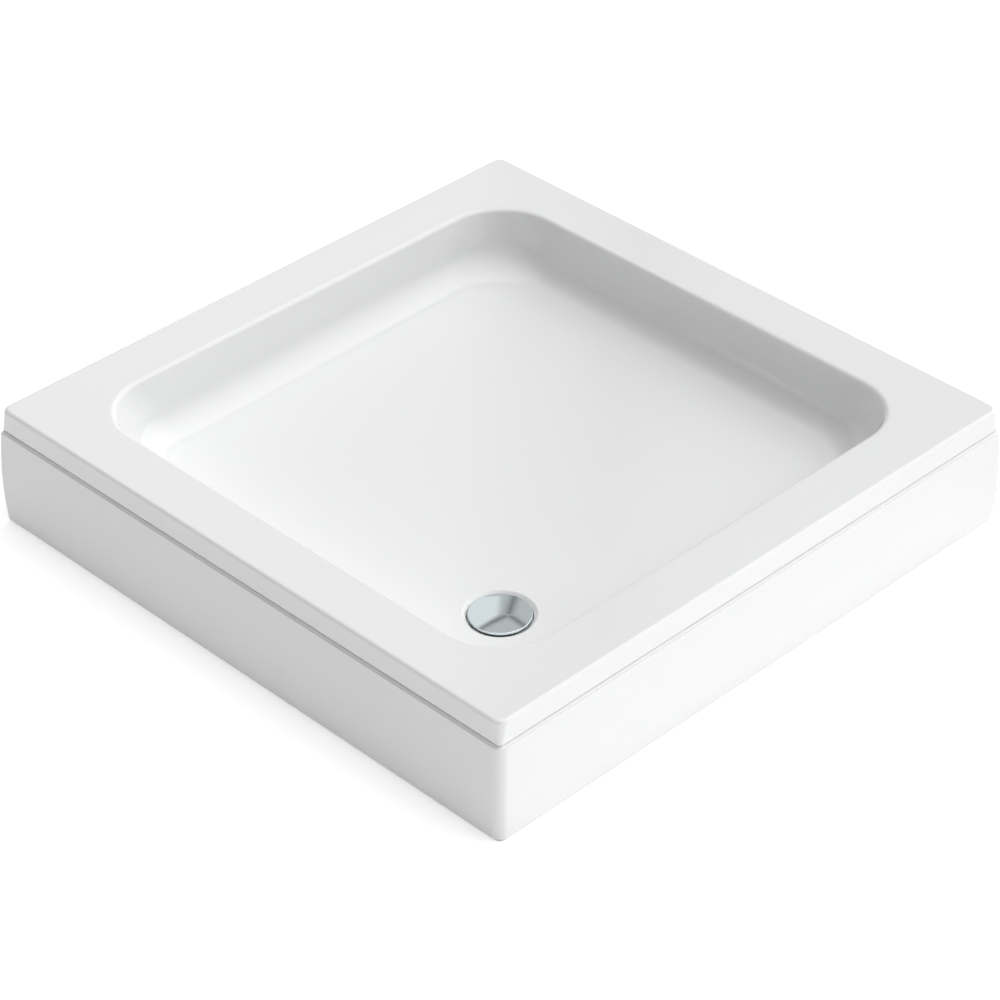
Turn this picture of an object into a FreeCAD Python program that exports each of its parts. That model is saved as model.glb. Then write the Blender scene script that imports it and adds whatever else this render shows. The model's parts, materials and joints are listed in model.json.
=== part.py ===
"""Square shower tray with its waste, support frame and removable apron.

Millimetres, +Z up. The origin is the middle of the tray at floor level, on the
underside of the middle foot. The tray's walls of the room stand at -X and +Y, and
the apron closes the sides at -Y and +X. The waste lies on the diagonal, near the
corner between the two apron faces.
"""
import FreeCAD, Part
import math
import os

import Sketcher
from FreeCAD import Placement, Rotation, Vector

DRIVING_SIZES = [
    # moulded tray
    ("tray_side", 900.0, "outer side of the square rim"),
    ("lip_drop", 32.5, "height of the turned-down lip"),
    ("sheet_thickness", 4.0, "acrylic sheet"),
    ("lip_edge_radius", 5.3, "rounding between rim and lip"),
    ("lip_corner_top", 15.0, "lip corner radius at the rim"),
    ("lip_corner_bottom", 5.0, "lip corner radius at its lower edge"),
    ("lip_inside_corner", 8.0, "corner radius inside the lip"),
    # basin
    ("rim_width", 78.0, "rim, from the lip's outside to the basin wall at rim level"),
    ("opening_corner", 85.5, "corner radius of the walls at rim level"),
    ("floor_corner", 108.0, "corner radius of the walls at floor level"),
    ("opening_edge_radius", 8.0, "rounding between rim and basin wall"),
    ("wall_draft", 12.0, "lean of the basin walls, degrees"),
    ("basin_depth", 86.4, "rim to floor at the middle"),
    ("cove_radius", 47.0, "rounding between walls and floor"),
    ("floor_fall", 0.01, "fall along each side, per unit length"),
    # waste well moulded in the floor
    ("waste_inset", 230.0, "waste axis from the outer sides of the rim"),
    ("bevel_diameter", 93.5, "top of the bevel round the cover"),
    ("bevel_depth", 4.0, "height of that bevel"),
    ("well_diameter", 83.0, "well under the bevel"),
    ("well_depth", 10.5, "floor to the waste's seat"),
    ("waste_hole", 60.0, "hole for the waste"),
    # reinforcement and base board
    ("glue_gap", 0.2, "bond line between shell, laminate and board"),
    ("laminate_thickness", 2.5, "fibre laminate behind the basin"),
    ("laminate_hole", 98.0, "laminate opening round the well"),
    ("board_inset", 72.0, "base board's edges inside the basin walls at rim level"),
    ("board_thickness", 16.0, "base board"),
    ("board_corner", 60.0, "corner radius of the base board"),
    ("board_waste_hole", 104.0, "board opening round the well and trap"),
    ("board_rod_hole", 16.0, "board clearance over each threaded rod"),
    # support rails
    ("rail_end_setback", 4.0, "rail ends inside the base board's edges"),
    ("rail_width", 30.0, "channel rail, outside"),
    ("rail_height", 20.0, "channel rail, outside"),
    ("rail_wall", 2.0, "channel rail sheet"),
    ("rail_margin", 16.0, "outer rails' middles inside the base board's edges"),
    ("rail_rod_hole", 12.0, "hole for a threaded rod"),
    ("rail_screw_spread", 150.0, "screws from the middle of a rail"),
    ("wood_screw_diameter", 4.5, "shank"),
    ("wood_screw_head", 9.0, "head diameter"),
    ("wood_screw_head_height", 2.4, "head height"),
    ("wood_screw_bite", 11.0, "length of shank in the wood"),
    ("screw_clearance", 0.2, "shank in its hole, on the radius"),
    ("screw_seat_gap", 0.15, "head to the metal it holds"),
    # adjustable legs
    ("leg_margin", 30.0, "outer legs inside the base board's side edges"),
    ("rod_diameter", 10.0, "threaded rod"),
    ("rod_head_room", 18.0, "tops of the rods below the basin floor's middle"),
    ("rod_chamfer", 0.8, "chamfer at the ends of a rod"),
    ("rod_seat", 8.0, "bottom of the rods over the floor"),
    ("nut_flats", 17.0, "nut across flats"),
    ("nut_height", 8.0, "nut"),
    ("nut_seat_gap", 0.3, "nut to rail"),
    ("nut_clearance", 0.1, "rod in its nut, on the radius"),
    ("foot_diameter", 46.0, "foot plate"),
    ("foot_plate", 2.5, "thickness of the foot's edge"),
    ("foot_neck", 22.0, "neck diameter of the foot"),
    ("foot_head_room", 5.2, "feet below the lowest nut"),
    ("foot_shoulder", 9.5, "bottom of the neck over the floor"),
    ("pad_diameter", 42.0, "rubber pad"),
    ("pad_thickness", 3.0, "rubber pad"),
    ("pad_edge", 0.8, "chamfer under the pad's edge"),
    # apron
    ("apron_height", 136.3, "apron over the floor"),
    ("apron_gap", 3.6, "shadow gap between apron and lip"),
    ("apron_proud", 3.5, "apron edges outside the lip"),
    ("apron_bow", 4.8, "outward bow of each apron face"),
    ("apron_thickness", 3.0, "apron sheet"),
    ("apron_flange", 25.0, "inward flanges along top and bottom"),
    ("apron_corner", 14.0, "upright corner of the apron"),
    ("apron_edge_radius", 2.0, "rounding of the apron's top edge"),
    ("apron_end_setback", 2.4, "apron ends short of the tray's wall sides"),
    ("batten_depth", 18.0, "battens, front to back"),
    ("batten_height", 20.0, "battens"),
    ("batten_face_gap", 1.2, "battens behind the apron's edges"),
    ("batten_wall_gap", 12.0, "battens short of the tray's wall sides"),
    ("batten_corner_gap", 7.3, "battens short of the other face's battens"),
    # magnetic catches between tray and apron
    ("catch_inset", 200.0, "catches from the ends of a side"),
    ("block_length", 120.0, "timber block under the rim"),
    ("block_depth", 40.0, "timber block, front to back"),
    ("block_height", 26.0, "timber block"),
    ("block_lip_gap", 2.0, "timber block to the lip"),
    ("bracket_width", 40.0, "angle bracket along the side"),
    ("bracket_sheet", 2.0, "angle bracket sheet"),
    ("bracket_drop", 30.0, "angle bracket below the block"),
    ("bracket_reach", 22.0, "angle bracket under the block"),
    ("bracket_screw_spread", 10.0, "screws from the middle of a bracket"),
    ("bracket_screw_reach", 13.0, "screws from the bracket's upright leg"),
    ("magnet_diameter", 16.0, "cup magnet"),
    ("magnet_thickness", 6.0, "cup magnet"),
    ("magnet_below_block", 18.0, "magnet axis below the block"),
    ("strike_length", 44.0, "strike plate"),
    ("strike_height", 18.0, "strike plate"),
    ("strike_thickness", 1.5, "strike plate"),
    ("strike_screw_margin", 1.0, "screw heads from the ends of a strike plate"),
    ("catch_gap", 0.3, "magnet to strike plate"),
    ("small_screw_diameter", 3.5, "shank"),
    ("small_screw_head", 7.0, "head diameter"),
    ("small_screw_head_height", 1.8, "head height"),
    ("small_screw_bite", 10.0, "length of shank in the wood"),
    # waste
    ("upper_seal_thickness", 1.5, "seal between seat and waste flange"),
    ("lower_seal_diameter", 86.0, "seal between tray and trap"),
    ("lower_seal_thickness", 2.0, "seal between tray and trap"),
    ("flange_diameter", 75.0, "waste flange"),
    ("flange_thickness", 2.0, "waste flange"),
    ("throat_diameter", 53.0, "throat of the waste flange"),
    ("spigot_diameter", 58.0, "threaded spigot of the waste flange"),
    ("spigot_length", 15.5, "threaded spigot below the flange"),
    ("spigot_clearance", 0.3, "spigot in the trap's neck, on the radius"),
    ("insert_rebate", 1.2, "depth of the rebate that carries the odour trap"),
    ("insert_rebate_wall", 1.4, "waste flange between throat and rebate"),
    ("insert_rim_clearance", 0.4, "odour trap's rim in its rebate, on the radius"),
    ("cover_diameter", 80.0, "cover disc"),
    ("cover_edge", 3.0, "thickness of the cover at its edge"),
    ("cover_crown", 1.6, "rise of the cover's middle"),
    ("cover_edge_radius", 1.2, "rounding of the cover's edge"),
    ("cover_web", 2.0, "cross web under the cover"),
    ("cover_web_drop", 12.0, "cross web inside the dip tube"),
    ("cover_web_clearance", 0.6, "cross web in the dip tube, on the radius"),
    ("cover_shoulder", 22.0, "shoulder radius of the cross web"),
    # odour trap insert and trap body
    ("dip_tube_diameter", 40.0, "dip tube, outside"),
    ("dip_tube_wall", 2.0, "dip tube"),
    ("dip_tube_gap", 8.0, "lower end of the dip tube over the cup's floor"),
    ("collar_diameter", 50.4, "collar of the dip tube"),
    ("collar_height", 9.5, "collar of the dip tube"),
    ("o_ring_section", 2.4, "section of the sealing ring"),
    ("o_ring_gap", 0.35, "sealing ring to the throat, on the radius"),
    ("o_ring_drop", 4.5, "sealing ring below the collar's top"),
    ("groove_play", 0.15, "sealing ring in its groove"),
    ("cup_diameter", 52.0, "odour trap cup, outside"),
    ("cup_wall", 2.0, "odour trap cup"),
    ("cup_height", 32.0, "odour trap cup"),
    ("cup_clearance", 7.0, "underside of the cup over the trap's underside"),
    ("cup_rib", 2.0, "ribs between cup and dip tube"),
    ("cup_rib_height", 16.0, "ribs between cup and dip tube"),
    ("rib_seat_gap", 0.1, "ribs to the dip tube"),
    ("trap_diameter", 84.0, "trap body"),
    ("trap_wall", 2.5, "trap body"),
    ("trap_depth", 58.0, "trap body"),
    ("trap_flange_diameter", 88.0, "trap's sealing flange"),
    ("trap_flange_thickness", 3.0, "trap's sealing flange"),
    ("trap_neck_length", 10.0, "threaded neck of the trap"),
    ("trap_neck_wall", 2.7, "threaded neck of the trap"),
    ("outlet_drop", 33.1, "outlet's axis below the trap's top"),
    ("outlet_bore", 40.6, "socket for a 40 mm pipe"),
    ("outlet_wall", 2.5, "socket wall"),
    ("outlet_stop", 36.0, "bore behind the socket"),
    ("outlet_stop_length", 4.0, "pipe stop, outside the trap body"),
    ("outlet_socket_length", 28.0, "socket"),
    ("outlet_nut_diameter", 52.0, "union nut over its ribs"),
    ("outlet_nut_length", 20.0, "union nut"),
    ("outlet_nut_overlap", 13.0, "union nut over the socket"),
    ("outlet_nut_clearance", 0.3, "union nut round the socket, on the radius"),
    ("outlet_nut_lip", 2.0, "end wall of the union nut"),
    ("outlet_nut_bore", 41.6, "bore of the union nut's end wall"),
    ("outlet_rib_depth", 1.2, "grip ribs of the union nut"),
    ("outlet_rib_width", 2.4, "grip ribs of the union nut"),
    ("outlet_seal_bore", 41.6, "pipe seal"),
    ("outlet_seal_length", 4.0, "pipe seal"),
]

LEG_POSITIONS = {
    "back_left": (-1, 1),
    "back_right": (1, 1),
    "front_left": (-1, -1),
    "front_right": (1, -1),
    "middle": (0, 0),
}
GRIP_RIBS = 16
CUP_RIBS = 3
TOUCH = 0.01  # two points or heights this close count as one
PAST = 1.0  # a cut runs this far past the solid that it opens

DERIVED_PLACES = [
    ("half_side", "=Sizes.tray_side / 2"),
    ("lip_bottom", "=Sizes.apron_height + Sizes.apron_gap"),
    ("rim_top", "=lip_bottom + Sizes.lip_drop"),
    ("rim_underside", "=rim_top - Sizes.sheet_thickness"),
    ("floor_middle", "=rim_top - Sizes.basin_depth"),
    ("floor_tilt", "=atan(Sizes.floor_fall * sqrt(2)) / 1 deg"),
    ("opening_half", "=half_side - Sizes.rim_width"),
    ("waste_x", "=half_side - Sizes.waste_inset"),
    ("waste_y", "=-waste_x"),
    ("waste_floor", "=floor_middle - Sizes.floor_fall * (waste_x - waste_y)"),
    ("well_top", "=waste_floor - Sizes.bevel_depth"),
    ("seat_top", "=waste_floor - Sizes.well_depth"),
    ("seat_underside", "=seat_top - Sizes.sheet_thickness"),
    ("laminate_inside", "=Sizes.sheet_thickness + Sizes.glue_gap"),
    ("laminate_outside", "=laminate_inside + Sizes.laminate_thickness"),
    ("board_top_depth", "=laminate_outside + Sizes.glue_gap"),
    ("board_bottom_depth", "=board_top_depth + Sizes.board_thickness"),
    ("rail_bottom_depth", "=board_bottom_depth + Sizes.rail_height"),
    ("board_half", "=opening_half - Sizes.board_inset"),
    ("rail_half", "=board_half - Sizes.rail_end_setback"),
    ("rail_offset", "=board_half - Sizes.rail_margin"),
    ("leg_spread", "=board_half - Sizes.leg_margin"),
    ("lowest_web", "=floor_middle - Sizes.floor_fall * (leg_spread + rail_offset) - rail_bottom_depth"),
    ("rod_top", "=floor_middle - Sizes.rod_head_room"),
    ("foot_top", "=lowest_web - Sizes.nut_seat_gap - Sizes.nut_height - Sizes.foot_head_room"),
    ("flange_bottom", "=seat_top + Sizes.upper_seal_thickness"),
    ("flange_top", "=flange_bottom + Sizes.flange_thickness"),
    ("rebate_floor", "=flange_top - Sizes.insert_rebate"),
    ("trap_top", "=seat_underside - Sizes.lower_seal_thickness"),
    ("trap_base", "=trap_top - Sizes.trap_depth"),
    ("outlet_axis", "=trap_top - Sizes.outlet_drop"),
    ("cup_base", "=trap_base + Sizes.cup_clearance"),
    ("cup_rim", "=cup_base + Sizes.cup_height"),
    ("dip_tube_end", "=cup_base + Sizes.cup_wall + Sizes.dip_tube_gap"),
    ("neck_radius", "=Sizes.spigot_diameter / 2 + Sizes.spigot_clearance"),
    ("cover_bottom", "=waste_floor - Sizes.cover_edge"),
    ("cover_sphere", "=(Sizes.cover_diameter^2 / 4 + Sizes.cover_crown^2) / (2 * Sizes.cover_crown)"),
    ("apron_edge", "=half_side + Sizes.apron_proud"),
    ("apron_face", "=apron_edge + Sizes.apron_bow"),
    ("bow_radius", "=(Sizes.apron_height^2 / 4 + Sizes.apron_bow^2) / (2 * Sizes.apron_bow)"),
    ("bow_centre", "=apron_face - bow_radius"),
    ("batten_face", "=apron_edge - Sizes.apron_thickness - Sizes.batten_face_gap"),
    ("batten_back", "=batten_face - Sizes.batten_depth"),
    ("batten_wall_end", "=half_side - Sizes.batten_wall_gap"),
    ("batten_corner_end", "=batten_back - Sizes.batten_corner_gap"),
    ("catch_spread", "=half_side - Sizes.catch_inset"),
    ("batten_top", "=Sizes.apron_height - Sizes.apron_thickness"),
    ("magnet_face", "=batten_back - Sizes.strike_thickness - Sizes.catch_gap"),
    ("bracket_face", "=magnet_face - Sizes.magnet_thickness"),
    ("block_bottom", "=rim_underside - Sizes.glue_gap - Sizes.block_height"),
    ("block_front", "=half_side - Sizes.sheet_thickness - Sizes.block_lip_gap"),
    ("outlet_face", "=Sizes.trap_diameter / 2 + Sizes.outlet_stop_length + Sizes.outlet_socket_length"),
]

document = FreeCAD.newDocument("shower_tray")
sizes = document.addObject("Spreadsheet::Sheet", "Sizes")
places = document.addObject("Spreadsheet::Sheet", "Places")
nodes = []


# ---------------------------------------------------------------- spreadsheet
def fill_sheets():
    """Write the driving sizes and the places worked out from them."""
    for row, (alias, number, meaning) in enumerate(DRIVING_SIZES, 1):
        sizes.set(f"A{row}", alias)
        sizes.set(f"B{row}", str(number))
        sizes.set(f"C{row}", meaning)
        sizes.setAlias(f"B{row}", alias)
    document.recompute()
    for row, (alias, formula) in enumerate(DERIVED_PLACES, 1):
        places.set(f"A{row}", alias)
        places.setAlias(f"B{row}", alias)
        places.set(f"B{row}", formula)
    document.recompute()


def number(expression):
    """The present value of an expression over the two sheets."""
    return float(sizes.evalExpression(str(expression)))


def floor_height(x, y, depth="0"):
    """Expression for the height of the sloping floor at (x, y), less a depth."""
    return f"Places.floor_middle - Sizes.floor_fall * (({x}) - ({y})) - ({depth})"


# ------------------------------------------------------------ parametric parts
def put(thing, x="0", y="0", z="0", turn=0, axis=(0, 0, 1)):
    """Bind a thing's place to expressions, and turn it about an axis."""
    thing.Placement = Placement(Vector(0, 0, 0), Rotation(Vector(*axis), turn))
    for letter, expression in zip("xyz", (x, y, z)):
        thing.setExpression(f"Placement.Base.{letter}", str(expression))
    return thing


def tilt(thing):
    """Lay a thing parallel to the sloping floor."""
    thing.Placement = Placement(thing.Placement.Base, Rotation(Vector(1, 1, 0), 1.0))
    thing.setExpression("Placement.Rotation.Angle", "Places.floor_tilt")
    return thing


def block(name, x, y, z):
    """A box between two expressions on each axis."""
    box = document.addObject("Part::Box", name)
    for prop, (low, high) in zip(("Length", "Width", "Height"), (x, y, z)):
        box.setExpression(prop, f"({high}) - ({low})")
    return put(box, x[0], y[0], z[0])


def sloping_block(name, x, y, depth, thickness):
    """A box laid along the floor's slope, its lower face at a depth below the floor."""
    box = block(name, x, y, ("0", thickness))
    put(box, x[0], y[0], floor_height(x[0], y[0], depth))
    return tilt(box)


def rod_shape(name, radius, low, high, x="0", y="0"):
    """An upright cylinder between two heights."""
    cylinder = document.addObject("Part::Cylinder", name)
    cylinder.setExpression("Radius", str(radius))
    cylinder.setExpression("Height", f"({high}) - ({low})")
    return put(cylinder, x, y, low)


def lying_rod(name, radius, length, x, y, z, axis, turn):
    """A cylinder that starts at a point and is turned from upright about an axis."""
    cylinder = document.addObject("Part::Cylinder", name)
    cylinder.setExpression("Radius", str(radius))
    cylinder.setExpression("Height", str(length))
    return put(cylinder, x, y, z, turn, axis)


def fuse(name, parts):
    """One solid from several."""
    fusion = document.addObject("Part::MultiFuse", name)
    fusion.Shapes = parts
    fusion.Refine = True
    return fusion


def cut(name, base, tools):
    """A solid less one or more others."""
    result = document.addObject("Part::Cut", name)
    result.Base = base
    result.Tool = tools[0] if len(tools) == 1 else fuse(name + "_tools", tools)
    return result


def common(name, parts):
    """What several solids share."""
    result = document.addObject("Part::MultiCommon", name)
    result.Shapes = parts
    return result


def rounded(name, base, chosen, radius, end_radius=None):
    """Fillet the edges that a test picks, with one radius or from one to another."""
    document.recompute()
    start = number(radius)
    end = start if end_radius is None else number(end_radius)
    fillet = document.addObject("Part::Fillet", name)
    fillet.Base = base
    picked = [index for index, edge in enumerate(base.Shape.Edges, 1) if chosen(edge)]
    fillet.Edges = [(index, start, end) for index in picked]
    document.recompute()
    return fillet


def points_on(edge):
    """Both ends and the middle of an edge."""
    first, last = edge.FirstParameter, edge.LastParameter
    return [edge.valueAt(first + (last - first) * part) for part in (0.0, 0.5, 1.0)]


def at_height(height):
    """A test for edges that lie level at a height."""
    level = number(height)
    return lambda edge: all(abs(point.z - level) < TOUCH for point in points_on(edge))


def standing(edge):
    """True for an edge that rises more than it runs."""
    start, _, end = points_on(edge)
    return abs(start.z - end.z) > math.hypot(start.x - end.x, start.y - end.y)


def on_slope(depth):
    """A test for edges in the plane of the sloping floor, less a depth."""
    normal = Rotation(Vector(1, 1, 0), number("Places.floor_tilt")).multVec(Vector(0, 0, 1))
    foot = Vector(0, 0, number("Places.floor_middle") - number(depth))
    return lambda edge: all(abs((point - foot).dot(normal)) < TOUCH for point in points_on(edge))


def node(thing, label):
    """Name a finished piece and keep it for the export."""
    thing.Label = label
    nodes.append(thing)
    return thing


def group(label, members):
    """Several separate solids of one kind under one name."""
    compound = document.addObject("Part::Compound", label)
    compound.Links = members
    return node(compound, label)


# ---------------------------------------------------------- sketched features
def origin_plane(body, role):
    """One of a body's own origin planes."""
    return next(plane for plane in body.Origin.OriginFeatures if plane.Role == role)


def new_body(name, x="0", y="0", z="0", turn=0):
    """An empty body at a place."""
    return put(document.addObject("PartDesign::Body", name), x, y, z, turn)


def new_sketch(body, name, plane):
    """An empty sketch on one of the body's origin planes."""
    sketch = body.newObject("Sketcher::SketchObject", name)
    sketch.AttachmentSupport = [(origin_plane(body, plane), "")]
    sketch.MapMode = "FlatFace"
    return sketch


def pin_point(sketch, line, end, expressions):
    """Hold one point of a sketch at two expressions, measured from the origin."""
    for kind, axis, expression in zip(("DistanceX", "DistanceY"), (-2, -1), expressions):
        distance = number(expression)
        if abs(distance) < 1e-9:
            sketch.addConstraint(Sketcher.Constraint("PointOnObject", line, end, axis))
        else:
            index = sketch.addConstraint(Sketcher.Constraint(kind, line, end, distance))
            sketch.setExpression(f"Constraints[{index}]", str(expression))


def outline(body, name, plane, points):
    """A closed sketch of straight lines through points given as expressions."""
    sketch = new_sketch(body, name, plane)
    first = sketch.GeometryCount
    where = [Vector(number(across), number(along), 0) for across, along in points]
    for start, end in zip(where, where[1:] + where[:1]):
        sketch.addGeometry(Part.LineSegment(start, end), False)
    for line in range(first, first + len(points)):
        after = first + (line - first + 1) % len(points)
        sketch.addConstraint(Sketcher.Constraint("Coincident", line, 2, after, 1))
    for line, expressions in enumerate(points, first):
        pin_point(sketch, line, 1, expressions)
    return sketch


def add_circle(sketch, radius, centre=("0", "0")):
    """Add a circle to a sketch."""
    middle = Vector(number(centre[0]), number(centre[1]), 0)
    circle = sketch.addGeometry(Part.Circle(middle, Vector(0, 0, 1), number(radius)), False)
    pin_point(sketch, circle, 3, centre)
    index = sketch.addConstraint(Sketcher.Constraint("Radius", circle, number(radius)))
    sketch.setExpression(f"Constraints[{index}]", str(radius))
    return sketch


def pad(body, sketch, length, midplane=False):
    """Pad a sketch by an expression."""
    feature = body.newObject("PartDesign::Pad", sketch.Name + "_pad")
    feature.Profile = sketch
    feature.setExpression("Length", str(length))
    feature.Midplane = midplane
    body.Tip = feature
    return feature


def turned(name, points, x="0", y="0", z="0"):
    """A body of revolution about an upright axis, from (radius, height) points."""
    body = new_body(name, x, y, z)
    profile = outline(body, name + "_profile", "XZ_Plane", points)
    spin = body.newObject("PartDesign::Revolution", name + "_turn")
    spin.Profile = profile
    spin.ReferenceAxis = (profile, ["V_Axis"])
    spin.Angle = 360.0
    body.Tip = spin
    return body


def ring(name, inner, outer, low, high, x="0", y="0"):
    """A plain ring between two radii and two heights."""
    corners = [(inner, low), (outer, low), (outer, high), (inner, high)]
    return turned(name, corners, x, y)


def screw(name, x, y, seat, prefix, through):
    """An upright screw whose head hangs below the sheet that it holds."""
    head_top = f"{seat} - Sizes.screw_seat_gap"
    head = rod_shape(
        name + "_head",
        f"Sizes.{prefix}_head / 2",
        f"{head_top} - Sizes.{prefix}_head_height",
        head_top,
        x,
        y,
    )
    shank_top = f"{seat} + ({through}) + Sizes.{prefix}_bite"
    shank = rod_shape(name + "_shank", f"Sizes.{prefix}_diameter / 2", head_top, shank_top, x, y)
    return fuse(name, [head, shank])


def screw_hole(name, x, y, seat, prefix, through):
    """The clearance hole for such a screw, open through the sheet that it holds."""
    room = "Sizes.screw_clearance"
    top = f"{seat} + ({through}) + Sizes.{prefix}_bite + {room}"
    return rod_shape(name, f"Sizes.{prefix}_diameter / 2 + {room}", f"{seat} - {PAST}", top, x, y)


# -------------------------------------------------------------- moulded basin
def wall_reach(height, grow):
    """Expression for the wall's distance from the middle at a height."""
    lean = "tan(Sizes.wall_draft * 1 deg)"
    spread = f"({grow}) / cos(Sizes.wall_draft * 1 deg)"
    return f"Places.opening_half - (Places.rim_top - ({height})) * {lean} + {spread}"


def wall_corner(height, grow):
    """Expression for the walls' corner radius at a height."""
    change = "(Sizes.floor_corner - Sizes.opening_corner) / Sizes.basin_depth"
    return f"Sizes.opening_corner + (Places.rim_top - ({height})) * {change} + ({grow})"


def basin_form(name, grow, top):
    """The basin's hollow, grown outwards by a distance and cut level at a height.

    Four leaning walls, with corners that open out downwards, a floor that falls
    towards the waste, and a cove between them.
    """
    bottom = "Places.floor_middle - Sizes.cove_radius"
    wedge = document.addObject("Part::Wedge", name + "_walls")
    for height, prefix, prop in ((bottom, "", "Ymin"), (top, "2", "Ymax")):
        wedge.setExpression(prop, height)
        reach = wall_reach(height, grow)
        for axis in "XZ":
            wedge.setExpression(f"{axis}{prefix}min", f"-({reach})")
            wedge.setExpression(f"{axis}{prefix}max", reach)
    put(wedge, turn=90, axis=(1, 0, 0))
    corners = rounded(
        name + "_corners",
        wedge,
        standing,
        wall_corner(bottom, grow),
        wall_corner(top, grow),
    )
    span = "Sizes.tray_side / 2"
    above = block(name + "_above", (f"-{span}", span), (f"-{span}", span), ("0", "Sizes.tray_side"))
    put(above, f"-{span}", f"-{span}", f"Places.floor_middle - ({grow})")
    tilt(above)
    return rounded(
        name,
        common(name + "_sharp", [corners, above]),
        on_slope(grow),
        f"Sizes.cove_radius + ({grow})",
    )


def make_tray_shell():
    """The moulded sheet: rim with its lip, basin, and the well for the waste."""
    half = "Places.half_side"
    across = (f"-{half}", half)
    slab = block("rim_slab", across, across, ("Places.lip_bottom", "Places.rim_top"))
    tapered = rounded("rim_corners", slab, standing, "Sizes.lip_corner_bottom", "Sizes.lip_corner_top")
    rim = rounded("rim_form", tapered, at_height("Places.rim_top"), "Sizes.lip_edge_radius")
    inside = f"({half} - Sizes.sheet_thickness)"
    void = block(
        "rim_void",
        (f"-{inside}", inside),
        (f"-{inside}", inside),
        ("Places.lip_bottom - Sizes.sheet_thickness", "Places.rim_underside"),
    )
    void = rounded("rim_void_corners", void, standing, "Sizes.lip_inside_corner")
    hollow_rim = cut("hollow_rim", rim, [void])
    outside = basin_form("tub_outside", "Sizes.sheet_thickness", f"Places.rim_top - {PAST}")
    well = "Sizes.well_diameter / 2"
    boss = rod_shape(
        "well_boss",
        f"{well} + Sizes.sheet_thickness",
        "Places.seat_underside",
        "Places.well_top",
        "Places.waste_x",
        "Places.waste_y",
    )
    bevel = document.addObject("Part::Cone", "well_bevel")
    slope = f"(Sizes.bevel_diameter / 2 - {well}) / Sizes.bevel_depth"
    bevel.setExpression("Radius1", well)
    bevel.setExpression("Radius2", f"{well} + 2 * Sizes.bevel_depth * {slope}")
    bevel.setExpression("Height", "2 * Sizes.bevel_depth")
    put(bevel, "Places.waste_x", "Places.waste_y", "Places.well_top")
    cavity = basin_form("basin_hollow", "0", "Places.rim_top + Sizes.sheet_thickness")
    well_cut = rod_shape(
        "well_cut", well, "Places.seat_top", "Places.well_top", "Places.waste_x", "Places.waste_y"
    )
    hole = rod_shape(
        "waste_hole_cut",
        "Sizes.waste_hole / 2",
        f"Places.seat_underside - {PAST}",
        "Places.well_top",
        "Places.waste_x",
        "Places.waste_y",
    )
    shell = cut(
        "sharp_shell",
        fuse("tray_and_tub", [hollow_rim, outside, boss]),
        [cavity, bevel, well_cut, hole],
    )
    rim_level = at_height("Places.rim_top")
    opening = number("Places.opening_half") + PAST

    def opening_edge(edge):
        return rim_level(edge) and all(
            max(abs(point.x), abs(point.y)) < opening for point in points_on(edge)
        )

    node(rounded("tray", shell, opening_edge, "Sizes.opening_edge_radius"), "tray_shell")


def make_laminate():
    """Fibre laminate that backs the basin."""
    top = "Places.rim_underside - Sizes.glue_gap"
    outside = basin_form("laminate_outside_form", "Places.laminate_outside", top)
    inside = basin_form("laminate_inside_form", "Places.laminate_inside", f"{top} + {PAST}")
    hole = rod_shape(
        "laminate_waste_hole",
        "Sizes.laminate_hole / 2",
        "Places.trap_top",
        "Places.waste_floor",
        "Places.waste_x",
        "Places.waste_y",
    )
    node(cut("laminate", outside, [inside, hole]), "laminate_backing")


# ------------------------------------------------------- base board and frame
def leg_place(side):
    """Expressions for a leg's place from its two signs."""
    return f"{side[0]} * Places.leg_spread", f"{side[1]} * Places.rail_offset"


def rail_screw_places():
    """The screws of all rails, as a name and the expressions of each place."""
    for row in (-1, 0, 1):
        for column in (-1, 1):
            x = f"{column} * Sizes.rail_screw_spread"
            yield f"r{row + 1}_{column + 1}", x, f"{row} * Places.rail_offset"


def make_base_board():
    """Board bonded under the basin's floor, with holes for trap, rods and screws."""
    half = "Places.board_half"
    span = (f"-{half}", half)
    plate = sloping_block("board_plate", span, span, "Places.board_bottom_depth", "Sizes.board_thickness")
    plate = rounded("board_corners", plate, standing, "Sizes.board_corner")
    holes = [
        rod_shape(
            "board_waste_cut",
            "Sizes.board_waste_hole / 2",
            "0",
            "Places.rim_top",
            "Places.waste_x",
            "Places.waste_y",
        )
    ]
    for name, side in LEG_POSITIONS.items():
        x, y = leg_place(side)
        radius = "Sizes.board_rod_hole / 2"
        holes.append(rod_shape(f"board_rod_{name}", radius, "0", "Places.rim_top", x, y))
    for name, x, y in rail_screw_places():
        seat = floor_height(x, y, "Places.rail_bottom_depth")
        holes.append(screw_hole(f"board_{name}", x, y, seat, "wood_screw", "Sizes.rail_height"))
    node(cut("board", plate, holes), "base_board")


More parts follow.
